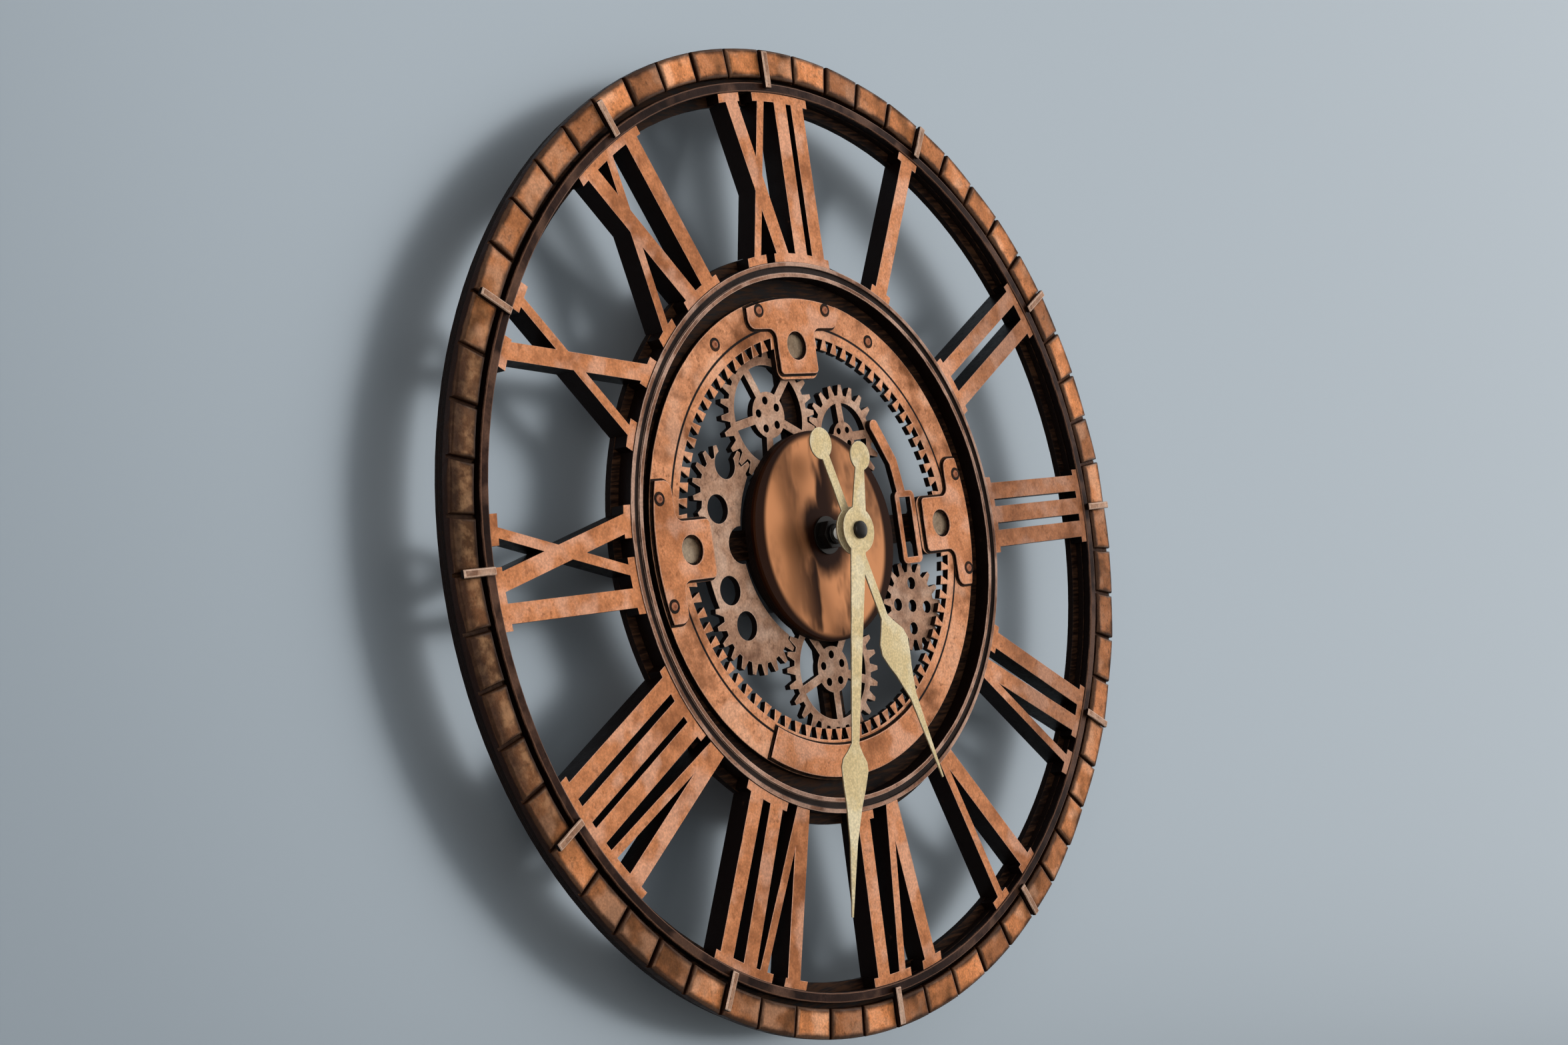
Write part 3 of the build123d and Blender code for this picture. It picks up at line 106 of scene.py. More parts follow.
make_camera()
print("camera looks along", (CAMERA_TARGET - CAMERA_PLACE).normalized())

# %% [markdown]
# A shader is a net of small nodes. Writing each one with its settings on one line keeps the net
# readable, so the helpers come next: one adds a node and links or sets its inputs, others give
# the few sums and patterns that every finish here is made of, and one opens a node group with
# named inputs and outputs. Colours are written as the eye names them, from 0 to 255.

# %% Helpers for shader nodes
COLOR = "NodeSocketColor"
FLOAT = "NodeSocketFloat"
FULL = 255
GAMMA = 2.2


def add(tree, kind, inputs=None, **settings):
    """A shader node: settings are its properties, inputs are values or other nodes' outputs."""
    node = tree.nodes.new(kind)
    for name, value in settings.items():
        setattr(node, name, value)
    for name, value in (inputs or {}).items():
        if isinstance(value, bpy.types.NodeSocket):
            tree.links.new(value, node.inputs[name])
        else:
            node.inputs[name].default_value = value
    return node


def calculate(tree, operation, first, second=0.0):
    """The result of one sum."""
    return add(tree, "ShaderNodeMath", {0: first, 1: second}, operation=operation).outputs[0]


def times(tree, first, second):
    """One value multiplied by another."""
    return calculate(tree, "MULTIPLY", first, second)


def plus(tree, first, second):
    """One value added to another."""
    return calculate(tree, "ADD", first, second)


def minus(tree, first, second):
    """The second value taken from the first."""
    return calculate(tree, "SUBTRACT", first, second)


def larger(tree, first, second):
    """The larger of two values."""
    return calculate(tree, "MAXIMUM", first, second)


def mix(tree, factor, first, second):
    """One colour turned into another by a factor."""
    node = add(tree, "ShaderNodeMix", {0: factor, 6: first, 7: second}, data_type="RGBA")
    return node.outputs[2]


def ramp(tree, value, low, high, to_low=0.0, to_high=1.0):
    """A value mapped smoothly from one range to another, and kept inside it."""
    node = add(tree, "ShaderNodeMapRange", {"Value": value, "From Min": low, "From Max": high,
                                            "To Min": to_low, "To Max": to_high},
               interpolation_type="SMOOTHSTEP")
    return node.outputs[0]


def noise(tree, place, scale, detail=3.0, roughness=0.5):
    """Soft noise at so many cells in a metre."""
    node = add(tree, "ShaderNodeTexNoise", {"Vector": place, "Scale": scale, "Detail": detail,
                                            "Roughness": roughness})
    return node.outputs["Fac"]


def stretched(tree, place, scale):
    """Coordinates stretched along the axes, for grain and brush marks."""
    return add(tree, "ShaderNodeMapping", {"Vector": place, "Scale": scale}).outputs["Vector"]


def object_place(tree):
    """Where a point lies on the piece."""
    return add(tree, "ShaderNodeTexCoord").outputs["Object"]


def along_axis(tree, axis):
    """Where a point lies along one axis."""
    return add(tree, "ShaderNodeSeparateXYZ", {0: object_place(tree)}).outputs[axis]


def distance_from_axis(tree):
    """How far a point lies from the arbor that the hands turn on."""
    flat = add(tree, "ShaderNodeVectorMath", {0: object_place(tree), 1: (1, 0, 1)},
               operation="MULTIPLY").outputs["Vector"]
    return add(tree, "ShaderNodeVectorMath", {0: flat}, operation="LENGTH").outputs["Value"]


def distance_from(tree, value, middle):
    """How far a value lies from a middle, either way."""
    return calculate(tree, "ABSOLUTE", minus(tree, value, middle))


def open_group(name, inputs, outputs):
    """A shader node group with its sockets, its inner input node and its output node."""
    group = bpy.data.node_groups.new(name, "ShaderNodeTree")
    for title, kind, value in inputs:
        socket = group.interface.new_socket(title, in_out="INPUT", socket_type=kind)
        socket.default_value = value
    for title, kind in outputs:
        group.interface.new_socket(title, in_out="OUTPUT", socket_type=kind)
    return group, group.nodes.new("NodeGroupInput"), group.nodes.new("NodeGroupOutput")


def linear(red, green, blue):
    """A colour as the eye names it, from 0 to 255, as the light that the shader needs."""
    return tuple((part / FULL) ** GAMMA for part in (red, green, blue)) + (1,)


print("shader helpers ready")

# %% [markdown]
# The paste was rubbed over the faces only. The walls that the blade cut stay black, and each
# rounded edge gets a brighter line, partly paste worn bright by the rag and partly a painted
# highlight. Painting that by hand would take a picture for each piece. Here the surface's own
# direction tells the three apart: a face looks out from the wall, a cut wall looks sideways, and
# the small bevel between them looks both ways.
# Clouds of two sizes break the paste up, so that the stain shows through in dull patches, and
# small dark specks and large pale blushes are laid over them. All scales are in cells a metre.

# %% Node group: rubbed paste
BROAD_CLOUDS = 24
BLUSHES = 60
MIDDLE_CLOUDS = 130
SPECKS = 420
PASTE_GRAIN = 1100
EDGE_STARTS = 0.985
EDGE_FULL = 0.93
DARKEST_TONE = 0.62
LIGHTEST_TONE = 1.36
PASTE_METAL = 0.4
PASTE_ROUGHNESS = 0.3


def rubbed_paste_group():
    """Paste on the faces, bare stain on the walls, edges brightened by wear and a painted
    highlight, and dull patches.
    """
    group, given, result = open_group(
        "rubbed_paste",
        [("Face", COLOR, (0.5, 0.2, 0.08, 1)), ("Wall", COLOR, (0.01, 0.005, 0.003, 1)),
         ("Bright", COLOR, (0.8, 0.4, 0.25, 1)), ("Dull", COLOR, (0.1, 0.04, 0.015, 1)),
         ("Edge_wear_and_highlight", FLOAT, 0.75), ("Patches", FLOAT, 0.5), ("Tone", FLOAT, 0.5)],
        [("Color", COLOR), ("Roughness", FLOAT), ("Metallic", FLOAT), ("Height", FLOAT)])
    place = object_place(group)
    normal = add(group, "ShaderNodeNewGeometry").outputs["Normal"]
    facing = add(group, "ShaderNodeVectorMath", {0: normal, 1: (0, -1, 0)},
                 operation="DOT_PRODUCT").outputs["Value"]
    broad = noise(group, place, BROAD_CLOUDS, 4)
    middle = noise(group, place, MIDDLE_CLOUDS, 4, 0.6)
    fine = noise(group, place, PASTE_GRAIN, 3)
    uneven = times(group, minus(group, middle, 0.5), 0.9)
    rubbed = ramp(group, plus(group, facing, uneven), 0.15, 0.6)
    # Painted highlight and wear: the bevels between face and wall take the Bright colour.
    slope = times(group, rubbed, ramp(group, facing, EDGE_STARTS, EDGE_FULL))
    edge = times(group, slope, given.outputs["Edge_wear_and_highlight"])
    clouds = plus(group, times(group, broad, 0.6), times(group, middle, 0.4))
    specks = ramp(group, noise(group, place, SPECKS, 3, 0.6), 0.52, 0.7, 0, 0.7)
    patch = times(group, given.outputs["Patches"],
                  larger(group, specks, ramp(group, clouds, 0.44, 0.66)))
    glow = times(group, ramp(group, clouds, 0.5, 0.3), 0.45)
    blush = ramp(group, noise(group, place, BLUSHES, 2), 0.5, 0.64, 0, 0.5)
    glow = larger(group, glow, blush)
    face = mix(group, patch, given.outputs["Face"], given.outputs["Dull"])
    face = mix(group, glow, face, given.outputs["Bright"])
    face = mix(group, edge, face, given.outputs["Bright"])
    coloured = mix(group, rubbed, given.outputs["Wall"], face)
    light = times(group, ramp(group, fine, 0.3, 0.75, 0.8, 1.15),
                  ramp(group, given.outputs["Tone"], 0, 1, DARKEST_TONE, LIGHTEST_TONE))
    toned = add(group, "ShaderNodeVectorMath", {0: coloured, "Scale": light},
                operation="SCALE").outputs["Vector"]
    group.links.new(toned, result.inputs["Color"])
    rough = plus(group, times(group, patch, 0.22), times(group, fine, 0.2))
    rough = plus(group, rough, PASTE_ROUGHNESS)
    group.links.new(rough, result.inputs["Roughness"])
    group.links.new(times(group, rubbed, PASTE_METAL), result.inputs["Metallic"])
    height = plus(group, times(group, middle, 0.6), fine)
    group.links.new(height, result.inputs["Height"])
    return group


rubbed_paste = rubbed_paste_group()
print("group:", rubbed_paste.name, len(rubbed_paste.nodes), "nodes")

# %% [markdown]
# Sheet wood that has only been stained, as on the hidden layers behind the dial, still shows
# its grain. A noise that is stretched along the sheet gives long fibres, and a wave through the
# thickness gives the thin dark glue lines of plywood on the cut edge, one to a millimetre.

# %% Node group: stained ply
FIBRES = 900
FIBRE_STRETCH = (0.12, 1, 1)
PLY_CLOUDS = 30
LAYERS = 1000


def stained_ply_group():
    """Fibres on the face of the sheet and glue lines on its edge."""
    group, given, result = open_group(
        "stained_ply",
        [("Stain", COLOR, (0.03, 0.012, 0.007, 1)), ("Fibre", COLOR, (0.08, 0.035, 0.018, 1)),
         ("Layers", FLOAT, LAYERS)],
        [("Color", COLOR), ("Roughness", FLOAT), ("Height", FLOAT)])
    place = object_place(group)
    fibres = noise(group, stretched(group, place, FIBRE_STRETCH), FIBRES, 4, 0.6)
    cloud = noise(group, place, PLY_CLOUDS, 3)
    depth = along_axis(group, "Y")
    wave = calculate(group, "SINE", times(
        group, depth, times(group, given.outputs["Layers"], 2 * math.pi)))
    normal = add(group, "ShaderNodeNewGeometry").outputs["Normal"]
    across = calculate(group, "ABSOLUTE", add(group, "ShaderNodeSeparateXYZ",
                                              {0: normal}).outputs["Y"])
    edge = ramp(group, across, 0.5, 0.2)
    glue = times(group, edge, ramp(group, wave, 0.7, 0.95))
    tone = plus(group, times(group, fibres, 0.7), times(group, cloud, 0.3))
    tone = minus(group, ramp(group, tone, 0.35, 0.7), glue)
    tone = minus(group, tone, times(group, edge, 0.6))
    group.links.new(mix(group, ramp(group, tone, 0, 1), given.outputs["Stain"],
                        given.outputs["Fibre"]), result.inputs["Color"])
    group.links.new(ramp(group, fibres, 0.3, 0.7, 0.5, 0.72), result.inputs["Roughness"])
    group.links.new(minus(group, fibres, glue), result.inputs["Height"])
    return group


stained_ply = stained_ply_group()
print("group:", stained_ply.name, len(stained_ply.nodes), "nodes")

# %% [markdown]
# A finish is a material. The group gives its colour, roughness and relief, and the shader that
# receives them stays in the material itself, with its plain numbers on its own sockets.

# %% Helpers for finishes
PASTE_SHEEN = 0.12
PASTE_DEPTH = 0.2 * MM
PASTE_RELIEF = 0.3
PLAIN_DEPTH = 0.1 * MM
FINE_PER_CLOUD = 25


def shader(name, **values):
    """A material with a principled shader whose plain numbers are set on its own sockets."""
    material = bpy.data.materials.new(name)
    material.use_nodes = True
    surface = material.node_tree.nodes["Principled BSDF"]
    for title, value in values.items():
        surface.inputs[title.replace("_", " ")].default_value = value
    return material, material.node_tree, surface


def use_group(tree, surface, group, **values):
    """The group placed in a material, feeding the sockets that bear the same names."""
    node = tree.nodes.new("ShaderNodeGroup")
    node.node_tree = group
    for name, value in values.items():
        node.inputs[name].default_value = value
    for output, socket in (("Color", "Base Color"), ("Roughness", "Roughness"),
                           ("Metallic", "Metallic")):
        if output in node.outputs:
            tree.links.new(node.outputs[output], surface.inputs[socket])
    return node


def bump(tree, surface, height, strength, distance):
    """Relief of a given depth from a height."""
    node = add(tree, "ShaderNodeBump", {"Height": height, "Strength": strength,
                                        "Distance": distance})
    tree.links.new(node.outputs["Normal"], surface.inputs["Normal"])


def pasted(name, **values):
    """A finish of paste rubbed over stained wood."""
    material, tree, surface = shader(name, Specular_IOR_Level=PASTE_SHEEN)
    paste = use_group(tree, surface, rubbed_paste, **values)
    bump(tree, surface, paste.outputs["Height"], PASTE_RELIEF, PASTE_DEPTH)
    return material, tree, surface, paste


def plain(name, color, roughness, metallic=0.0, grain=60, depth=0.1, spread=0.2):
    """A finish with cloudy tone, uneven gloss and fine relief."""
    material, tree, surface = shader(name, Metallic=metallic)
    place = object_place(tree)
    cloud = noise(tree, place, grain, 4)
    fine = noise(tree, place, grain * FINE_PER_CLOUD, 2)
    darker = tuple(part * (1 - spread) for part in color[:3]) + (1,)
    tree.links.new(mix(tree, ramp(tree, cloud, 0.3, 0.7), darker, color),
                   surface.inputs["Base Color"])
    tree.links.new(ramp(tree, cloud, 0.3, 0.7, roughness * 0.8, roughness * 1.2),
                   surface.inputs["Roughness"])
    bump(tree, surface, fine, depth, PLAIN_DEPTH)
    return material


print("finishes can be made")

# %% [markdown]
# The numerals and brackets share one orange copper, with painted shade that darkens it towards
# the right. The gears were rubbed with less of it, so they look paler and the stain shows through
# in more places. The rivets are a deeper red, and the lip inside the bricks is nearly bare. The
# hands are cream paint, but they wear in the same way, so the same group serves them too.

# %% Finishes of the rubbed pieces
STAIN = linear(20, 11, 8)
SHADE_FROM = 95 * MM
SHADE_FULLY = 125 * MM
MIDDLE_TONE = 0.5
SHADED_TONE = 0.05


def numeral_copper():
    """Copper paste with painted shade that darkens it towards the right."""
    material, tree, _, paste = pasted(
        "copper_paste", Face=linear(214, 137, 90), Wall=STAIN,
        Bright=linear(244, 184, 152), Dull=linear(140, 82, 48), Patches=0.75)
    # Painted shade: the tone falls from the middle value to a dark one towards the right.
    tree.links.new(ramp(tree, along_axis(tree, "X"), SHADE_FROM, SHADE_FULLY, MIDDLE_TONE,
                        SHADED_TONE), paste.inputs["Tone"])
    return material


copper = numeral_copper()
lip_copper = pasted("aged_copper_paste", Face=linear(50, 29, 19), Wall=STAIN,
                    Bright=linear(120, 86, 68), Dull=linear(32, 19, 13), Patches=0.9)[0]
rivet_copper = pasted("deep_copper_paste", Face=linear(146, 82, 54), Wall=STAIN,
                      Bright=linear(200, 130, 96), Dull=linear(92, 50, 34), Patches=0.8)[0]
gear_copper = pasted("thin_copper_paste", Face=linear(182, 138, 110), Wall=STAIN,
                     Bright=linear(232, 194, 168), Dull=linear(108, 72, 54), Patches=0.9)[0]
cream = pasted("cream_paint", Face=linear(222, 196, 146), Wall=linear(118, 100, 72),
               Bright=linear(244, 230, 196), Dull=linear(206, 178, 126), Patches=0.5)[0]
print("rubbed finishes:", copper.name, lip_copper.name, gear_copper.name, cream.name)

# %% [markdown]
# The back rings, the rim behind the bricks and the carrier never saw the rag. They take the
# other group, with hardly any sheen, because the stain sank into the wood.

# %% Finish of the bare pieces
PLY_SHEEN = 0.1
PLY_DEPTH = 0.15 * MM
PLY_RELIEF = 0.4


def stained(name, stain, fibre):
    """A finish of bare stained ply."""
    material, tree, surface = shader(name, Specular_IOR_Level=PLY_SHEEN)
    ply = use_group(tree, surface, stained_ply, Stain=stain, Fibre=fibre)
    bump(tree, surface, ply.outputs["Height"], PLY_RELIEF, PLY_DEPTH)
    return material


dark_ply = stained("dark_stain", linear(22, 13, 9), linear(66, 44, 30))
print("bare finish:", dark_ply.name)

# %% [markdown]
# The dial has a fine line scored round it, just outside its teeth. It is finer than the solids
# go, so the finish makes it: the distance from the arbor finds the line, darkens it and sinks it.

# %% Finish: scored dial
SCORE_RADIUS = 86.8 * MM
SCORE_WIDTH = 0.7 * MM
SCORE_DEPTH = 0.4 * MM


def scored_dial():
    """Copper paste with one fine ring scored into it."""
    material, tree, surface, paste = pasted(
        "scored_copper_paste", Face=linear(224, 149, 104), Wall=STAIN,
        Bright=linear(246, 186, 150), Dull=linear(130, 78, 46), Patches=0.95)
    off = distance_from(tree, distance_from_axis(tree), SCORE_RADIUS)
    line = ramp(tree, off, SCORE_WIDTH, SCORE_WIDTH / 2)
    tree.links.new(mix(tree, line, paste.outputs["Color"], STAIN), surface.inputs["Base Color"])
    sunk = times(tree, line, SCORE_DEPTH / PASTE_DEPTH)
    bump(tree, surface, minus(tree, paste.outputs["Height"], sunk), PASTE_RELIEF, PASTE_DEPTH)
    return material


dial_copper = scored_dial()
print("finish:", dial_copper.name)

# %% [markdown]
# The ring between the dial and the numerals shows two thin pale lines with a dark band between
# them. The solid has the groove; the rag passed over it, so only the two lands took the paste.

# %% Finish: grooved ring
GROOVE_MIDDLE = 109 * MM
GROOVE_HALF = 1.5 * MM
GROOVE_DARKNESS = 0.96


def grooved_copper():
    """Copper paste on two narrow lands, with the groove between them left dark."""
    material, tree, surface, paste = pasted(
        "grooved_copper_paste", Face=linear(148, 104, 80), Wall=STAIN,
        Bright=linear(226, 184, 160), Dull=linear(88, 58, 44), Patches=0.9)
    off = distance_from(tree, distance_from_axis(tree), GROOVE_MIDDLE)
    groove = ramp(tree, off, GROOVE_HALF, GROOVE_HALF * 0.75, 0, GROOVE_DARKNESS)
    tree.links.new(mix(tree, groove, paste.outputs["Color"], STAIN), surface.inputs["Base Color"])
    return material


ring_copper = grooved_copper()
print("finish:", ring_copper.name)

# %% [markdown]
# The bricks differ from each other in tone, as they do where each was rubbed by itself. Sixty
# materials would say the same thing sixty times: here the angle round the arbor numbers the
# bricks, and a random tone is drawn for each number. Each brick is darker along its border,
# partly dark paste in the joints and partly painted shade over its rounded edges, and those on
# the left have aged to a dull brown, darker towards the outer edge. The paste is metallic only
# where it was rubbed on, so that output keeps the ageing to the fronts.

# %% Finish: bricks
BRICKS = 60
BRICK_RING_INNER = 188 * MM
BRICK_RING_OUTER = 200 * MM
BORDER = 2.5 * MM
BORDER_CORE = 0.4 * MM
RAGGED = 2.2 * MM
RAGGED_SHIFT = 0.7 * MM
DIRT_AND_SHADE = 0.88
AGED_FROM = -115 * MM
AGED_FULLY = -165 * MM
AGED_HEIGHT = 120 * MM
AGED_SHARE = 0.85
OUTER_DARK_FROM = 7 * MM
OUTER_DARK_FULLY = 2.5 * MM
BRICK_DARK = linear(36, 20, 12)
AGED_DARK = linear(66, 46, 30)
AGED_PALE = linear(138, 104, 74)
MOTTLES = 170
LUMPS = 110
LUMP_HEIGHT = 6


def brick_copper():
    """Copper paste whose tone changes from brick to brick, dark round each and on the left."""
    material, tree, surface, paste = pasted(
        "brick_copper_paste", Face=linear(206, 128, 78), Wall=STAIN,
        Bright=linear(240, 178, 138), Dull=linear(124, 80, 48), Patches=0.9)
    spot = object_place(tree)
    place = add(tree, "ShaderNodeSeparateXYZ", {0: spot}).outputs
    turn = calculate(tree, "ARCTAN2", place["Z"], place["X"])
    count = times(tree, turn, BRICKS / (2 * math.pi))
    tone = add(tree, "ShaderNodeTexWhiteNoise", {"W": calculate(tree, "FLOOR", count)},
               noise_dimensions="1D")
    tree.links.new(tone.outputs["Value"], paste.inputs["Tone"])
    nearest = calculate(tree, "PINGPONG", count, 0.5)
    side = times(tree, nearest, 2 * math.pi * BRICK_RING_OUTER / BRICKS)
    radius = distance_from_axis(tree)
    inner = minus(tree, radius, BRICK_RING_INNER)
    outer = minus(tree, BRICK_RING_OUTER, radius)
    border = calculate(tree, "MINIMUM", side, calculate(tree, "MINIMUM", inner, outer))
    ragged = times(tree, noise(tree, spot, MIDDLE_CLOUDS, 3), RAGGED)
    border = minus(tree, border, minus(tree, ragged, RAGGED_SHIFT))
    # Darker border round each brick: partly dark paste in the joints, partly painted shade over
    # its rounded edges.
    dirt_and_shade = ramp(tree, border, BORDER, BORDER_CORE)
    level = ramp(tree, calculate(tree, "ABSOLUTE", place["Z"]), AGED_HEIGHT, AGED_HEIGHT / 2)
    aged = times(tree, ramp(tree, place["X"], AGED_FROM, AGED_FULLY), level)
    front = times(tree, paste.outputs["Metallic"], AGED_SHARE / PASTE_METAL)
    aged = times(tree, aged, front)
    mottle = ramp(tree, noise(tree, spot, MOTTLES, 4, 0.65), 0.42, 0.66)
    brown = mix(tree, mottle, AGED_DARK, AGED_PALE)
    old = mix(tree, aged, paste.outputs["Color"], brown)
    # Darker towards the outer edge on the aged bricks.
    outer_dark = times(tree, aged, ramp(tree, outer, OUTER_DARK_FROM, OUTER_DARK_FULLY))
    dirt_and_shade = times(tree, larger(tree, dirt_and_shade, outer_dark), DIRT_AND_SHADE)
    tree.links.new(mix(tree, dirt_and_shade, old, BRICK_DARK), surface.inputs["Base Color"])
    lumps = times(tree, noise(tree, spot, LUMPS, 2), LUMP_HEIGHT)
    bump(tree, surface, plus(tree, paste.outputs["Height"], lumps), 0.5, PASTE_DEPTH)
    return material


bricks_copper = brick_copper()
print("finish:", bricks_copper.name)

# %% [markdown]
# The disc in the middle is polished sheet, so half of its look is what it mirrors. The other
# half is painted: a painted dark reflection that hangs in upright streaks and cloudy blots, and
# painted shade that is black round the arbor. The streaks are noise drawn out along the height,
# and the dark heart follows the distance from the arbor. The edge is a painted dark reflection
# too, broad at the sides and thin above.

# %% Finish: copper disc with painted reflection and shade
POLISH = linear(190, 126, 84)
PAINTED_DARK = linear(46, 25, 13)
DISC_METAL = 0.75
DISC_SHEEN = 0.1
DISC_DEPTH = 0.05 * MM
DARK_STREAK_PLACE = -3 * MM
DARK_STREAK_REACH = 27 * MM
HEART_RADIUS = 19 * MM
HEART_WAVER = 20 * MM
POLISHED_HALF_WIDTH = 36.84 * MM
POLISHED_HALF_HEIGHT = 41.18 * MM


def copper_with_painted_dark():
    """Polished copper with painted dark reflection in upright streaks, blots and round the edge,
    and painted shade round the arbor.
    """
    material, tree, surface = shader("copper_with_painted_dark", Metallic=DISC_METAL,
                                     Specular_IOR_Level=DISC_SHEEN)
    place = object_place(tree)
    streaks = noise(tree, stretched(tree, place, (1, 1, 0.32)), 62, 3, 0.6)
    blots = noise(tree, stretched(tree, place, (1, 1, 0.55)), 40, 4, 0.6)
    aside = distance_from(tree, along_axis(tree, "X"), DARK_STREAK_PLACE)
    # Painted dark reflection in upright streaks beside the arbor.
    dark_streaks = times(tree, ramp(tree, aside, DARK_STREAK_REACH, DARK_STREAK_REACH * 0.2),
                    ramp(tree, streaks, 0.4, 0.56))
    wavering = times(tree, minus(tree, blots, 0.5), HEART_WAVER)
    # Painted shade round the arbor.
    arbor_shade = ramp(tree, plus(tree, distance_from_axis(tree), wavering), HEART_RADIUS,
                 HEART_RADIUS / 2)
    oval = stretched(tree, place, (1 / POLISHED_HALF_WIDTH, 0, 1 / POLISHED_HALF_HEIGHT))
    oval = add(tree, "ShaderNodeVectorMath", {0: oval}, operation="LENGTH").outputs["Value"]
    # Painted dark reflection round the edge, broad at the sides.
    edge = ramp(tree, oval, 0.95, 1.03)
    # Painted dark reflection in cloudy blots.
    cloudy = ramp(tree, blots, 0.46, 0.76, 0, 0.8)
    painted_dark = larger(tree, larger(tree, arbor_shade, edge), larger(tree, dark_streaks, cloudy))
    tree.links.new(mix(tree, painted_dark, POLISH, PAINTED_DARK), surface.inputs["Base Color"])
    tree.links.new(ramp(tree, painted_dark, 0, 1, 0.3, 0.55), surface.inputs["Roughness"])
    bump(tree, surface, noise(tree, place, 700, 2), 0.08, DISC_DEPTH)
    return material


disc_copper = copper_with_painted_dark()
print("finish:", disc_copper.name)

# %% [markdown]
# The small stock parts are steel, brass, rubber and plastic. Each keeps a cloudy tone and an
# uneven gloss, which is all that shows at their size. The solids name their own materials, so
# one table from those names to the finishes dresses every solid piece at once.

# %% Finishes of the small stock parts
finishes = {
    "copper_stained_wood": copper,
    "dark_stained_wood": dark_ply,
    "polished_copper_disc": disc_copper,
    "case_plastic": plain("case_plastic", linear(40, 40, 43), 0.5, 0.0, 40, 0.5),
    "hanger_steel": plain("plated_steel", linear(178, 180, 184), 0.35, 0.9),
    "washer_rubber": plain("rubber", linear(30, 30, 30), 0.8),
    "blackened_fixing": plain("blackened_steel", linear(38, 34, 30), 0.35, 0.7),
    "arbor_brass": plain("brass", linear(206, 172, 102), 0.25, 1.0),
    "wheel_plastic": plain("wheel_plastic", linear(232, 230, 220), 0.4),
    "rotor_magnet": plain("magnet", linear(92, 92, 96), 0.5, 0.3),
    "stator_steel": plain("stator_steel", linear(160, 160, 162), 0.4, 0.9),
    "contact_steel": plain("contact_nickel", linear(200, 198, 190), 0.3, 1.0),
    "coil_copper": plain("enamelled_wire", linear(170, 84, 42), 0.3, 0.8),
    "board_resin": plain("board_resin", linear(38, 96, 58), 0.4),
    "crystal_can": plain("drawn_can", linear(205, 205, 208), 0.25, 1.0),
    "cell_jacket": plain("cell_jacket", linear(52, 54, 60), 0.3),
    "cream_enamel": cream,
}
for name, node in nodes.items():
    node.data.materials.clear()
    node.data.materials.append(finishes[slot_of[name]])
print("finishes:", len(finishes))

# %% [markdown]
# A cut piece of sheet is never quite sharp: sanding and the rag round its edges over, and that
# thin round line is what catches the light in the photograph. So each sheet piece gets a copy
# whose loose triangles are merged into flat faces, and whose edges between face and wall are
# bevelled. A wide bevel would close up the small teeth, so it stays near a third of a millimetre.
# Faces, walls and bevels are then shaded apart, or the flat faces would look dented.

# %% Helpers for eased pieces
MERGE = 0.01 * MM
FLAT_ANGLE = math.radians(0.5)
SHARP_ANGLE = math.radians(34)
RIM_ANGLE = math.radians(50)
SQUARE = 0.999


def lie(face):
    """How a face lies: flat to the view, upright as a wall, or sloping between them."""
    across = abs(face.normal.y)
    if across > SQUARE:
        return "flat"
    if across < 1 - SQUARE:
        return "wall"
    return "slope"


def copied(node):
    """A merged copy of a solid piece, with its loose triangles joined into flat faces."""
    shape = bmesh.new()
    shape.from_mesh(nodes[node].data)
    bmesh.ops.remove_doubles(shape, verts=shape.verts, dist=MERGE)
    bmesh.ops.dissolve_limit(shape, angle_limit=FLAT_ANGLE, verts=shape.verts, edges=shape.edges)
    return shape


def rims(shape):
    """The edges between a flat face and a wall."""
    found = []
    for edge in shape.edges:
        if len(edge.link_faces) == 2 and edge.calc_face_angle() > RIM_ANGLE:
            if "flat" in [lie(face) for face in edge.link_faces]:
                found.append(edge)
    return found


def bevelled(shape, edges, width, segments=2):
    """The same shape with these edges rounded over."""
    bmesh.ops.bevel(shape, geom=edges, offset=width, offset_type="OFFSET", affect="EDGES",
                    segments=segments, profile=0.5, material=-1, clamp_overlap=True)
    return shape


def shade(shape):
    """Round walls and bevels smooth, and every meeting of face, bevel and wall crisp."""
    for face in shape.faces:
        face.smooth = True
    for edge in shape.edges:
        kinds = {lie(face) for face in edge.link_faces}
        edge.smooth = len(kinds) == 1 and edge.calc_face_angle(0) < SHARP_ANGLE


def piece_from(name, shape, finish, node, stands_for=()):
    """A finished piece that rides with a solid piece and may stand for it."""
    mesh = bpy.data.meshes.new(name)
    shape.to_mesh(mesh)
    shape.free()
    mesh.materials.append(finish)
    piece = bpy.data.objects.new(name, mesh)
    scene.collection.objects.link(piece)
    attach(piece, nodes[node]["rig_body"])
    if stands_for:
        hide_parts(*stands_for)
    return piece


def eased(node, finish, width):
    """A sheet piece with eased edges, in place of the solid one."""
    shape = copied(node)
    bevelled(shape, rims(shape), width)
    shade(shape)
    return piece_from(f"{node}_eased", shape, finish, node, [node])


print("sheet pieces can be eased")

# %% [markdown]
# Each row below is a group of pieces, its finish and the width of its bevel in millimetres. The
# lip, the hour markers and the numerals were rounded most, so their rims catch the most light.
# The teeth and the thin hands could not bear as much, and the dark layers were hardly touched.

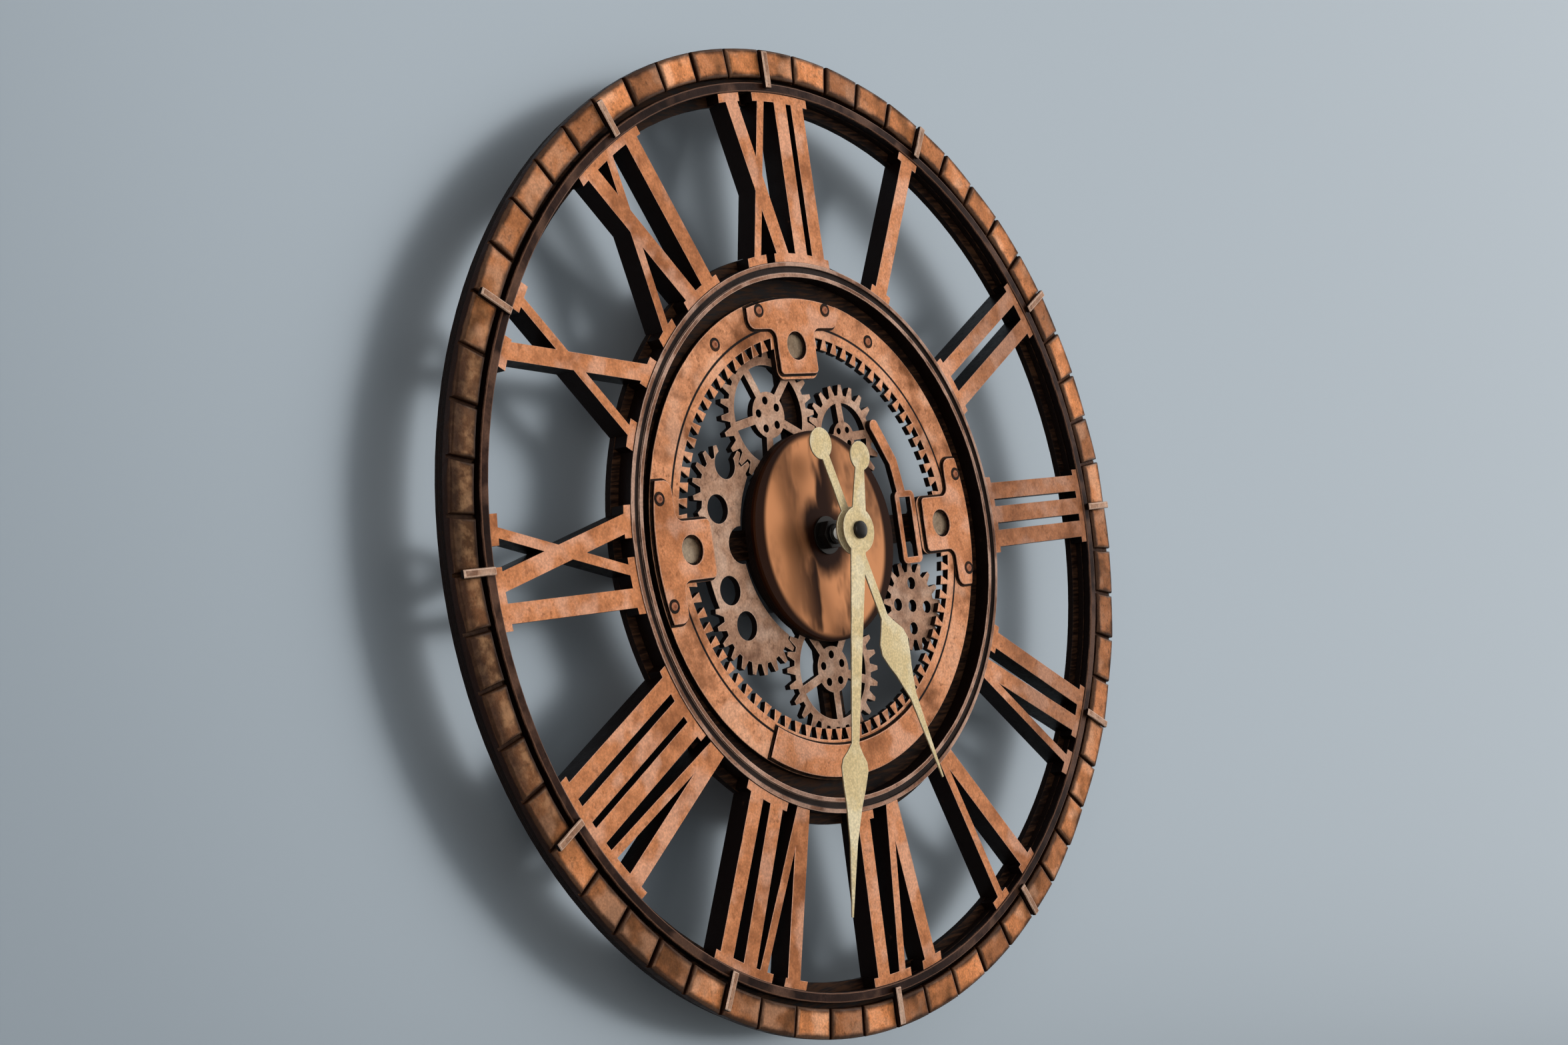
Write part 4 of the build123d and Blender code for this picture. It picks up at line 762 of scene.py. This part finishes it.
# %% Numerals, rings and plates
NUMERALS = ("i", "ii", "iii", "iv", "v", "vi", "vii", "viii", "ix", "x", "xi", "xii")
SHEET_PIECES = (
    ([f"numeral_{numeral}" for numeral in NUMERALS], copper, 0.5),
    (["bracket_top", "bracket_left", "bracket_right", "lower_arc_plate", "slotted_link"],
     copper, 0.35),
    (["gear_upper_left", "gear_upper_right", "gear_lower", "gear_lower_right",
      "left_gear_plate"], gear_copper, 0.3),
    (["outer_back_ring", "outer_rim_ring", "inner_back_ring", "carrier_cross", "core_disc",
      "disc_spacer"], dark_ply, 0.2),
    (["outer_lip_ring"], lip_copper, 0.6),
    (["inner_face_ring"], ring_copper, 0.3),
    (["toothed_dial"], dial_copper, 0.3),
    (["hour_markers"], gear_copper, 0.6),
    (["hour_hand", "minute_hand"], cream, 0.22),
    (["centre_disc"], disc_copper, 0.2),
    (["hex_nut"], finishes["blackened_fixing"], 0.3))
for names, finish, ease in SHEET_PIECES:
    for name in names:
        eased(name, finish, ease * MM)

# %% [markdown]
# The bricks are rounder than the rest: their edges were broken by hand, so no two stand quite
# level. The copy of the ring is bevelled wide and only on its front rims, and then each brick's
# front is set back and tilted by a small amount of its own. A seed keeps the draw the same on
# every run.

# %% Ring of bricks
BRICK_SEED = 12
BRICK_EASE = 1.3 * MM
BRICK_FRONT = 1.1 * BRICK_EASE
BRICK_SETBACK = 0.35 * MM
BRICK_TILT = 0.3 * MM
BRICK_ARM = 8 * MM


def brick_of(point):
    """Which brick of the ring a point belongs to."""
    turn = math.atan2(point.z, point.x) % (2 * math.pi)
    return min(int(turn * BRICKS / (2 * math.pi)), BRICKS - 1)


def ring_of_bricks():
    """Sixty bricks on one ring, rounded over and laid a little unevenly."""
    random.seed(BRICK_SEED)
    shape = copied("brick_ring")
    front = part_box("brick_ring")[0].y
    bevelled(shape, [edge for edge in rims(shape)
                     if all(abs(vert.co.y - front) < MERGE for vert in edge.verts)],
             BRICK_EASE, 3)
    setbacks = [random.uniform(0, BRICK_SETBACK) for brick in range(BRICKS)]
    tilts = [random.uniform(-BRICK_TILT, BRICK_TILT) for brick in range(BRICKS)]
    for vert in shape.verts:
        if vert.co.y < front + BRICK_FRONT:
            brick = brick_of(vert.co)
            middle = (brick + 0.5) * 2 * math.pi / BRICKS
            side = vert.co.z * math.cos(middle) - vert.co.x * math.sin(middle)
            vert.co.y += setbacks[brick] + tilts[brick] * side / BRICK_ARM
    shade(shape)
    return piece_from("brick_ring_laid", shape, bricks_copper, "brick_ring", ["brick_ring"])


bricks = ring_of_bricks()
print("bricks:", len(bricks.data.polygons), "faces")

# %% [markdown]
# Rivets, the cap over the arbor and the screw thread are turned shapes. Each starts as a short
# profile of points, given by their distance from the axis and their height off the wall, and is
# spun about that axis. The doubles at the seam and the poles are merged, and only then can the
# normals be pointed outwards. The cell and the coil lie across the clock, so their shapes are
# turned like the others and then laid along the box of the solid.

# %% Helpers for turned pieces
TURN_STEPS = 48


def turned(profile, centre=(0, 0), steps=TURN_STEPS):
    """A round shape about an axis square to the wall, through a place on the dial."""
    shape = bmesh.new()
    verts = [shape.verts.new((centre[0] + radius, -height, centre[1]))
             for radius, height in profile]
    edges = [shape.edges.new(pair) for pair in zip(verts, verts[1:])]
    bmesh.ops.spin(shape, geom=verts + edges, cent=(centre[0], 0, centre[1]), axis=(0, 1, 0),
                   angle=2 * math.pi, steps=steps, use_merge=True)
    bmesh.ops.remove_doubles(shape, verts=shape.verts, dist=MERGE)
    bmesh.ops.recalc_face_normals(shape, faces=shape.faces)
    return shape


def smooth_turned(shape):
    """Smooth shading that keeps the turned corners crisp."""
    for face in shape.faces:
        face.smooth = True
    for edge in shape.edges:
        edge.smooth = edge.calc_face_angle(0) < SHARP_ANGLE


def laid(profile, low, high, steps=TURN_STEPS):
    """A round shape about the length of a lying piece, given the corners of its box."""
    shape = turned(profile, steps=steps)
    turn = Matrix.Rotation(math.radians(90), 4, "Z")
    place = Matrix.Translation((low.x, (low.y + high.y) / 2, (low.z + high.z) / 2))
    bmesh.ops.transform(shape, matrix=place @ turn, verts=shape.verts)
    bmesh.ops.recalc_face_normals(shape, faces=shape.faces)
    smooth_turned(shape)
    return shape


def gather(whole, part):
    """A turned part, smoothed and put into a larger shape."""
    smooth_turned(part)
    mesh = bpy.data.meshes.new("part")
    part.to_mesh(mesh)
    part.free()
    whole.from_mesh(mesh)
    bpy.data.meshes.remove(mesh)


print("round pieces can be turned")

# %% [markdown]
# Each rivet is a low dome with a dark collar of painted shade round its foot. All eight are one
# solid piece, so a small search walks along its edges, tells them apart and gives each its place
# and size. It goes in the order of the corners, the same on every run.

# %% Rivets
COLLAR_WIDTH = 1.1 * MM
COLLAR_HEIGHT = 0.15 * MM
RIVET_STEPS = 20


def bodies_of(node):
    """The lowest and highest corner of each separate body in a solid piece."""
    shape = copied(node)
    left = dict.fromkeys(shape.verts)
    corners = []
    while left:
        group = [left.popitem()[0]]
        for vert in group:
            for edge in vert.link_edges:
                other = edge.other_vert(vert)
                if other in left:
                    del left[other]
                    group.append(other)
        low = Vector([min(vert.co[i] for vert in group) for i in range(3)])
        high = Vector([max(vert.co[i] for vert in group) for i in range(3)])
        corners.append((low, high))
    shape.free()
    return corners


def dome(radius, low, high, steps=5):
    """The profile of a rounded head, from its axis down to its rim."""
    turns = [math.pi / 2 * step / steps for step in range(steps + 1)]
    return [(radius * math.sin(turn), low + (high - low) * math.cos(turn)) for turn in turns]


def rivet_heads():
    """Domed heads, and a dark collar of painted shade round the foot of each."""
    heads = bmesh.new()
    shade_collars = bmesh.new()
    for low, high in bodies_of("rivets"):
        centre = ((low.x + high.x) / 2, (low.z + high.z) / 2)
        radius = (high.x - low.x) / 2
        foot, top = -high.y, -low.y
        rim = radius + COLLAR_WIDTH
        # The collar is painted shade: a dark ring where the head meets the plate.
        collar = [(radius, foot + COLLAR_HEIGHT), (rim, foot + COLLAR_HEIGHT), (rim, foot),
                  (radius, foot), (radius, foot + COLLAR_HEIGHT)]
        gather(heads, turned(dome(radius, foot, top) + [(0, foot)], centre, RIVET_STEPS))
        gather(shade_collars, turned(collar, centre, RIVET_STEPS))
    piece_from("rivet_heads", heads, rivet_copper, "rivets", ["rivets"])
    piece_from("rivet_collars", shade_collars, dark_ply, "rivets")


rivet_heads()
print("rivets: eight heads with collars")

# %% [markdown]
# Where a bracket stands on the dial, a dark line of painted shade outlines it, for the shadow in
# that corner. It is a thin strip round the foot of the bracket: a copy of the bracket loses its
# front and back, the walls that are left are thickened outwards by the width of the line, and
# their tops come down almost to the dial. In each bracket's hole sits a pale worn dowel, a
# little below the face, and dished where it was sanded.

# %% Painted shade lines and dowels
LINE_WIDTH = 0.9 * MM
LINE_HEIGHT = 0.15 * MM
DOWEL_REACH = 78 * MM
DOWEL_RADIUS = 5.7 * MM
DOWEL_FRONT = 25.4 * MM
DOWEL_BACK = 23.2 * MM
DOWEL_DISH = 0.5 * MM
DOWEL_DISH_SHARE = 0.7
DOWEL_STEPS = 24


def painted_shade_line(node):
    """A dark line of painted shade round the foot of a raised plate."""
    shape = copied(node)
    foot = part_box(node)[1].y
    lids = [face for face in shape.faces if lie(face) == "flat"]
    bmesh.ops.delete(shape, geom=lids, context="FACES")
    bmesh.ops.solidify(shape, geom=list(shape.faces), thickness=-LINE_WIDTH)
    for vert in shape.verts:
        if vert.co.y < foot - MERGE:
            vert.co.y = foot - LINE_HEIGHT
    bmesh.ops.recalc_face_normals(shape, faces=shape.faces)
    return piece_from(f"{node}_painted_shade_line", shape, dark_ply, node)


def dowels():
    """Three worn dowels in the holes of the brackets."""
    profile = [(0, DOWEL_FRONT - DOWEL_DISH),
               (DOWEL_RADIUS * DOWEL_DISH_SHARE, DOWEL_FRONT - DOWEL_DISH * DOWEL_DISH_SHARE),
               (DOWEL_RADIUS, DOWEL_FRONT), (DOWEL_RADIUS, DOWEL_BACK), (0, DOWEL_BACK)]
    worn = pasted("worn_dowel", Face=linear(146, 122, 98), Wall=STAIN,
                  Bright=linear(190, 168, 142), Dull=linear(104, 80, 60), Patches=0.8)[0]
    whole = bmesh.new()
    for place in ((0, DOWEL_REACH), (-DOWEL_REACH, 0), (DOWEL_REACH, 0)):
        gather(whole, turned(profile, place, DOWEL_STEPS))
    return piece_from("bracket_dowels", whole, worn, "toothed_dial")


lines = [painted_shade_line(name) for name in ("bracket_top", "bracket_left", "bracket_right",
                                       "lower_arc_plate")]
print("paste lines:", len(lines), "dowels:", len(dowels().data.polygons), "faces")

# %% [markdown]
# The arbor ends in a dark cap. The solid has a plain chamfer; here it gets the rounded crown of
# a pressed cap and a narrow step at its foot. Below it the bush shows a little of its thread,
# which is a zigzag profile spun round: rings in place of a true helix, because at this pitch
# nobody can tell them apart.

# %% Cap and thread
CAP_STEP = 0.5 * MM
CAP_SHOULDER = 0.45
THREAD_RADIUS = 3.95 * MM
THREAD_PITCH = 0.8 * MM
THREAD_DEPTH = 0.28 * MM
THREAD_GAP = 0.05 * MM


def cap():
    """The cap nut with a rounded crown and a narrow step at its foot."""
    low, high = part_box("cap_nut")
    radius = (high.x - low.x) / 2
    foot, top = -high.y, -low.y
    shoulder = foot + (top - foot) * CAP_SHOULDER
    profile = [(0, foot + CAP_STEP), (radius - CAP_STEP, foot + CAP_STEP),
               (radius - CAP_STEP, foot), (radius, foot)]
    shape = turned(profile + list(reversed(dome(radius, shoulder, top))))
    smooth_turned(shape)
    return piece_from("cap_nut_crowned", shape, finishes["blackened_fixing"], "cap_nut",
                      ["cap_nut"])


def thread():
    """A sleeve of rings over the bush, where it stands out of the nut."""
    top = -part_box("threaded_bush")[0].y
    foot = -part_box("hex_nut")[0].y + THREAD_GAP
    rings = max(1, round((top - foot) / THREAD_PITCH))
    pitch = (top - foot) / rings
    root, crest = THREAD_RADIUS - THREAD_DEPTH / 2, THREAD_RADIUS + THREAD_DEPTH / 2
    profile = []
    for ring in range(rings):
        profile.append((root, foot + ring * pitch))
        profile.append((crest, foot + (ring + 0.5) * pitch))
    inside = THREAD_RADIUS - THREAD_DEPTH
    profile += [(root, top), (inside, top), (inside, foot)]
    shape = turned(profile + profile[:1])
    smooth_turned(shape)
    return piece_from("bush_thread", shape, finishes["blackened_fixing"], "threaded_bush")


print("cap and thread:", len(cap().data.polygons), len(thread().data.polygons), "faces")

# %% [markdown]
# Seen from behind, the cell lies in its bay. A real one is a steel can in a printed jacket, with
# the steel showing at both ends and a nub at one of them. Here the jacket has a plain copper
# band and no words. All three are turned about the cell's own length, from the solid's sizes.

# %% Battery
STEEL_LAP = 1.2 * MM
BAND_LENGTH = 11 * MM
ROLL = 0.6 * MM
CRIMP = 0.35 * MM
NUB_RADIUS = 2.75 * MM
NUB_LENGTH = 1.2 * MM
JACKET_EDGE = 0.2 * MM


def battery():
    """Steel can with rolled ends, dark jacket and a copper band."""
    low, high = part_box("battery")
    radius = (high.y - low.y) / 2
    length = high.x - low.x
    shoulder = length - NUB_LENGTH
    can = [(0, CRIMP), (radius - 2 * ROLL, CRIMP), (radius - 1.5 * ROLL, 0),
           (radius - 1.2 * ROLL, 0), (radius - 0.7 * ROLL, ROLL / 2), (radius - CRIMP, ROLL * 1.5),
           (radius - CRIMP, shoulder - ROLL * 1.5), (radius - 0.7 * ROLL, shoulder - ROLL / 2),
           (radius - 1.2 * ROLL, shoulder), (radius - 2 * ROLL, shoulder - CRIMP),
           (NUB_RADIUS + 3 * ROLL, shoulder - CRIMP), (NUB_RADIUS + 2 * ROLL, shoulder),
           (NUB_RADIUS, shoulder), (NUB_RADIUS, length - ROLL / 2),
           (NUB_RADIUS - ROLL / 2, length), (0, length)]
    end = shoulder - STEEL_LAP
    split = end - BAND_LENGTH
    inner = radius - CRIMP
    jacket = [(inner, STEEL_LAP), (radius - JACKET_EDGE / 2, STEEL_LAP),
              (radius, STEEL_LAP + JACKET_EDGE), (radius, split), (inner, split),
              (inner, STEEL_LAP)]
    band = [(inner, split), (radius, split), (radius, end - JACKET_EDGE),
            (radius - JACKET_EDGE / 2, end), (inner, end), (inner, split)]
    band_finish = plain("cell_band", linear(186, 108, 62), 0.28, 0.8)
    for name, profile, finish, stands_for in (
            ("battery_can", can, finishes["contact_steel"], ["battery"]),
            ("battery_jacket", jacket, finishes["cell_jacket"], []),
            ("battery_band", band, band_finish, [])):
        piece_from(name, laid(profile, low, high), finish, "battery", stands_for)


battery()
print("battery: can, jacket and band")

# %% [markdown]
# The drive coil is hair-thin enamelled wire on a plastic bobbin. At this size the turns read as
# fine ribs, so the winding is turned from a ribbed profile, and the bobbin's two flanges are
# turned beside it. Both follow the solid's box, which gives the coil's axis and length.

# %% Drive coil
COIL_RIBS = 22
COIL_FLANGE = 0.8 * MM
COIL_RIB = 0.12 * MM
COIL_STEPS = 32


def drive_coil():
    """Ribbed winding between two flanges."""
    low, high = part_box("drive_coil")
    radius = (high.y - low.y) / 2
    length = high.x - low.x
    start, stop = COIL_FLANGE, length - COIL_FLANGE
    wound = radius - COIL_FLANGE / 2
    core = radius / 3
    ribs = [(core, start)]
    for rib in range(COIL_RIBS):
        for share, rise in ((0, -COIL_RIB), (0.5, COIL_RIB)):
            ribs.append((wound + rise, start + (stop - start) * (rib + share) / COIL_RIBS))
    ribs += [(wound - COIL_RIB, stop), (core, stop), (core, start)]
    bobbin = [(0, 0), (radius, 0), (radius, start), (core, start), (core, stop), (radius, stop),
              (radius, length), (0, length)]
    piece_from("coil_winding", laid(ribs, low, high, COIL_STEPS), finishes["coil_copper"],
               "drive_coil", ["drive_coil"])
    flanges = piece_from("coil_bobbin", laid(bobbin, low, high, COIL_STEPS),
                         finishes["wheel_plastic"], "drive_coil")


drive_coil()
print("coil:", COIL_RIBS, "ribs")

# %% [markdown]
# The case and its cover are moulded plastic: every corner has a small radius, because a sharp
# one would crack in the mould, and the cover has a shallow sunk panel. The knob, the hanger and
# the washers get the same small rounding, in millimetres below. The panel is an inset of the
# cover's rear face, pushed inwards, so the cover still lies flush with the wall.

# %% Moulded case, cover, knob and hanger
PANEL_BORDER = 1.4 * MM
PANEL_DEPTH = 0.3 * MM
STOCK_PIECES = (("movement_case", "case_plastic", 0.3), ("setting_knob", "case_plastic", 0.12),
                ("hanger", "hanger_steel", 0.25), ("rubber_washer", "washer_rubber", 0.2),
                ("flat_washer", "blackened_fixing", 0.12))


def sunk_cover():
    """The rear cover with a shallow sunk panel."""
    shape = copied("movement_rear_cover")
    back = [face for face in shape.faces
            if face.normal.y > SQUARE and face.calc_center_median().y > -MERGE]
    bmesh.ops.inset_region(shape, faces=back, thickness=PANEL_BORDER, depth=0,
                           use_boundary=True, use_even_offset=True)
    bmesh.ops.translate(shape, verts=list({vert for face in back for vert in face.verts}),
                        vec=(0, -PANEL_DEPTH, 0))
    shade(shape)
    return piece_from("movement_rear_cover_sunk", shape, finishes["case_plastic"],
                      "movement_rear_cover", ["movement_rear_cover"])


for name, stock, ease in STOCK_PIECES:
    eased(name, finishes[stock], ease * MM)
cover = sunk_cover()
print("case and cover:", len(cover.data.polygons), "faces in the cover")

# %% [markdown]
# The clock hangs on a glossy pale wall that mirrors its dark back, softly, to the left. A matt
# wall would lose that, so the paint is half a mirror: a metallic share gives the strength and a
# medium roughness the blur. From behind the wall is clear, so that the movement can be seen, and
# it lets the room's light through to the back of the clock, which would be black without it.

# %% Wall and floor
STAGE_SIZE = 7.0
FLOOR_DROP = 1.2


def backdrop(name, place, turn, material):
    """A large square plane, turned and put in its place."""
    shape = bmesh.new()
    bmesh.ops.create_grid(shape, x_segments=1, y_segments=1, size=STAGE_SIZE / 2,
                          matrix=Matrix.Translation(place) @ Matrix.Rotation(turn, 4, "X"))
    mesh = bpy.data.meshes.new(name)
    shape.to_mesh(mesh)
    shape.free()
    mesh.materials.append(material)
    plane = bpy.data.objects.new(name, mesh)
    scene.collection.objects.link(plane)


def wall_paint():
    """Pale glossy paint that mirrors the clock softly, and is clear from behind."""
    material, tree, surface = shader("wall_paint", Base_Color=linear(159, 167, 173),
                                     Roughness=0.31, Metallic=0.6)
    clear = add(tree, "ShaderNodeBsdfTransparent")
    behind = add(tree, "ShaderNodeNewGeometry").outputs["Backfacing"]
    bounced = add(tree, "ShaderNodeLightPath").outputs["Is Diffuse Ray"]
    choice = add(tree, "ShaderNodeMixShader", {
        0: larger(tree, behind, bounced), 1: surface.outputs[0], 2: clear.outputs[0]})
    tree.links.new(choice.outputs[0], tree.nodes["Material Output"].inputs["Surface"])
    return material


backdrop("wall", (0, 0, STAGE_SIZE / 2 - FLOOR_DROP), math.radians(90), wall_paint())
floor_paint = plain("floor_paint", linear(205, 203, 198), 0.6, grain=2, depth=0.02, spread=0.05)
backdrop("floor", (0, 0, -FLOOR_DROP), 0, floor_paint)
print("stage ready")

# %% [markdown]
# One broad lamp stands to the right, where the window is in the photograph, and throws the
# soft shadow to the left. A weaker one on the left keeps the near side readable, and the pale
# room fills the rest, so that a colour comes out about as it is written. The lamps' places and
# sizes are in metres and their powers in watts.

# %% Lights and room
ROOM_STRENGTH = 0.85


def lamp(name, place, size, power, color):
    """A soft square lamp that looks at the clock."""
    light = bpy.data.lights.new(name, "AREA")
    light.size = size
    light.energy = power
    light.color = color
    holder = bpy.data.objects.new(name, light)
    holder.location = place
    holder.rotation_euler = (-Vector(place)).to_track_quat("-Z", "Y").to_euler()
    scene.collection.objects.link(holder)


lamp("window", place=(2.2, -1.32, 0.6), size=3.0, power=22, color=(1.0, 0.99, 0.97))
lamp("fill", place=(-0.85, -0.6, 0.3), size=0.5, power=2.4, color=(1.0, 0.97, 0.94))
room = bpy.data.worlds.new("room")
scene.world = room
room.use_nodes = True
air = room.node_tree.nodes["Background"]
air.inputs["Color"].default_value = linear(216, 222, 228)
air.inputs["Strength"].default_value = ROOM_STRENGTH
scene.view_settings.view_transform = "Standard"
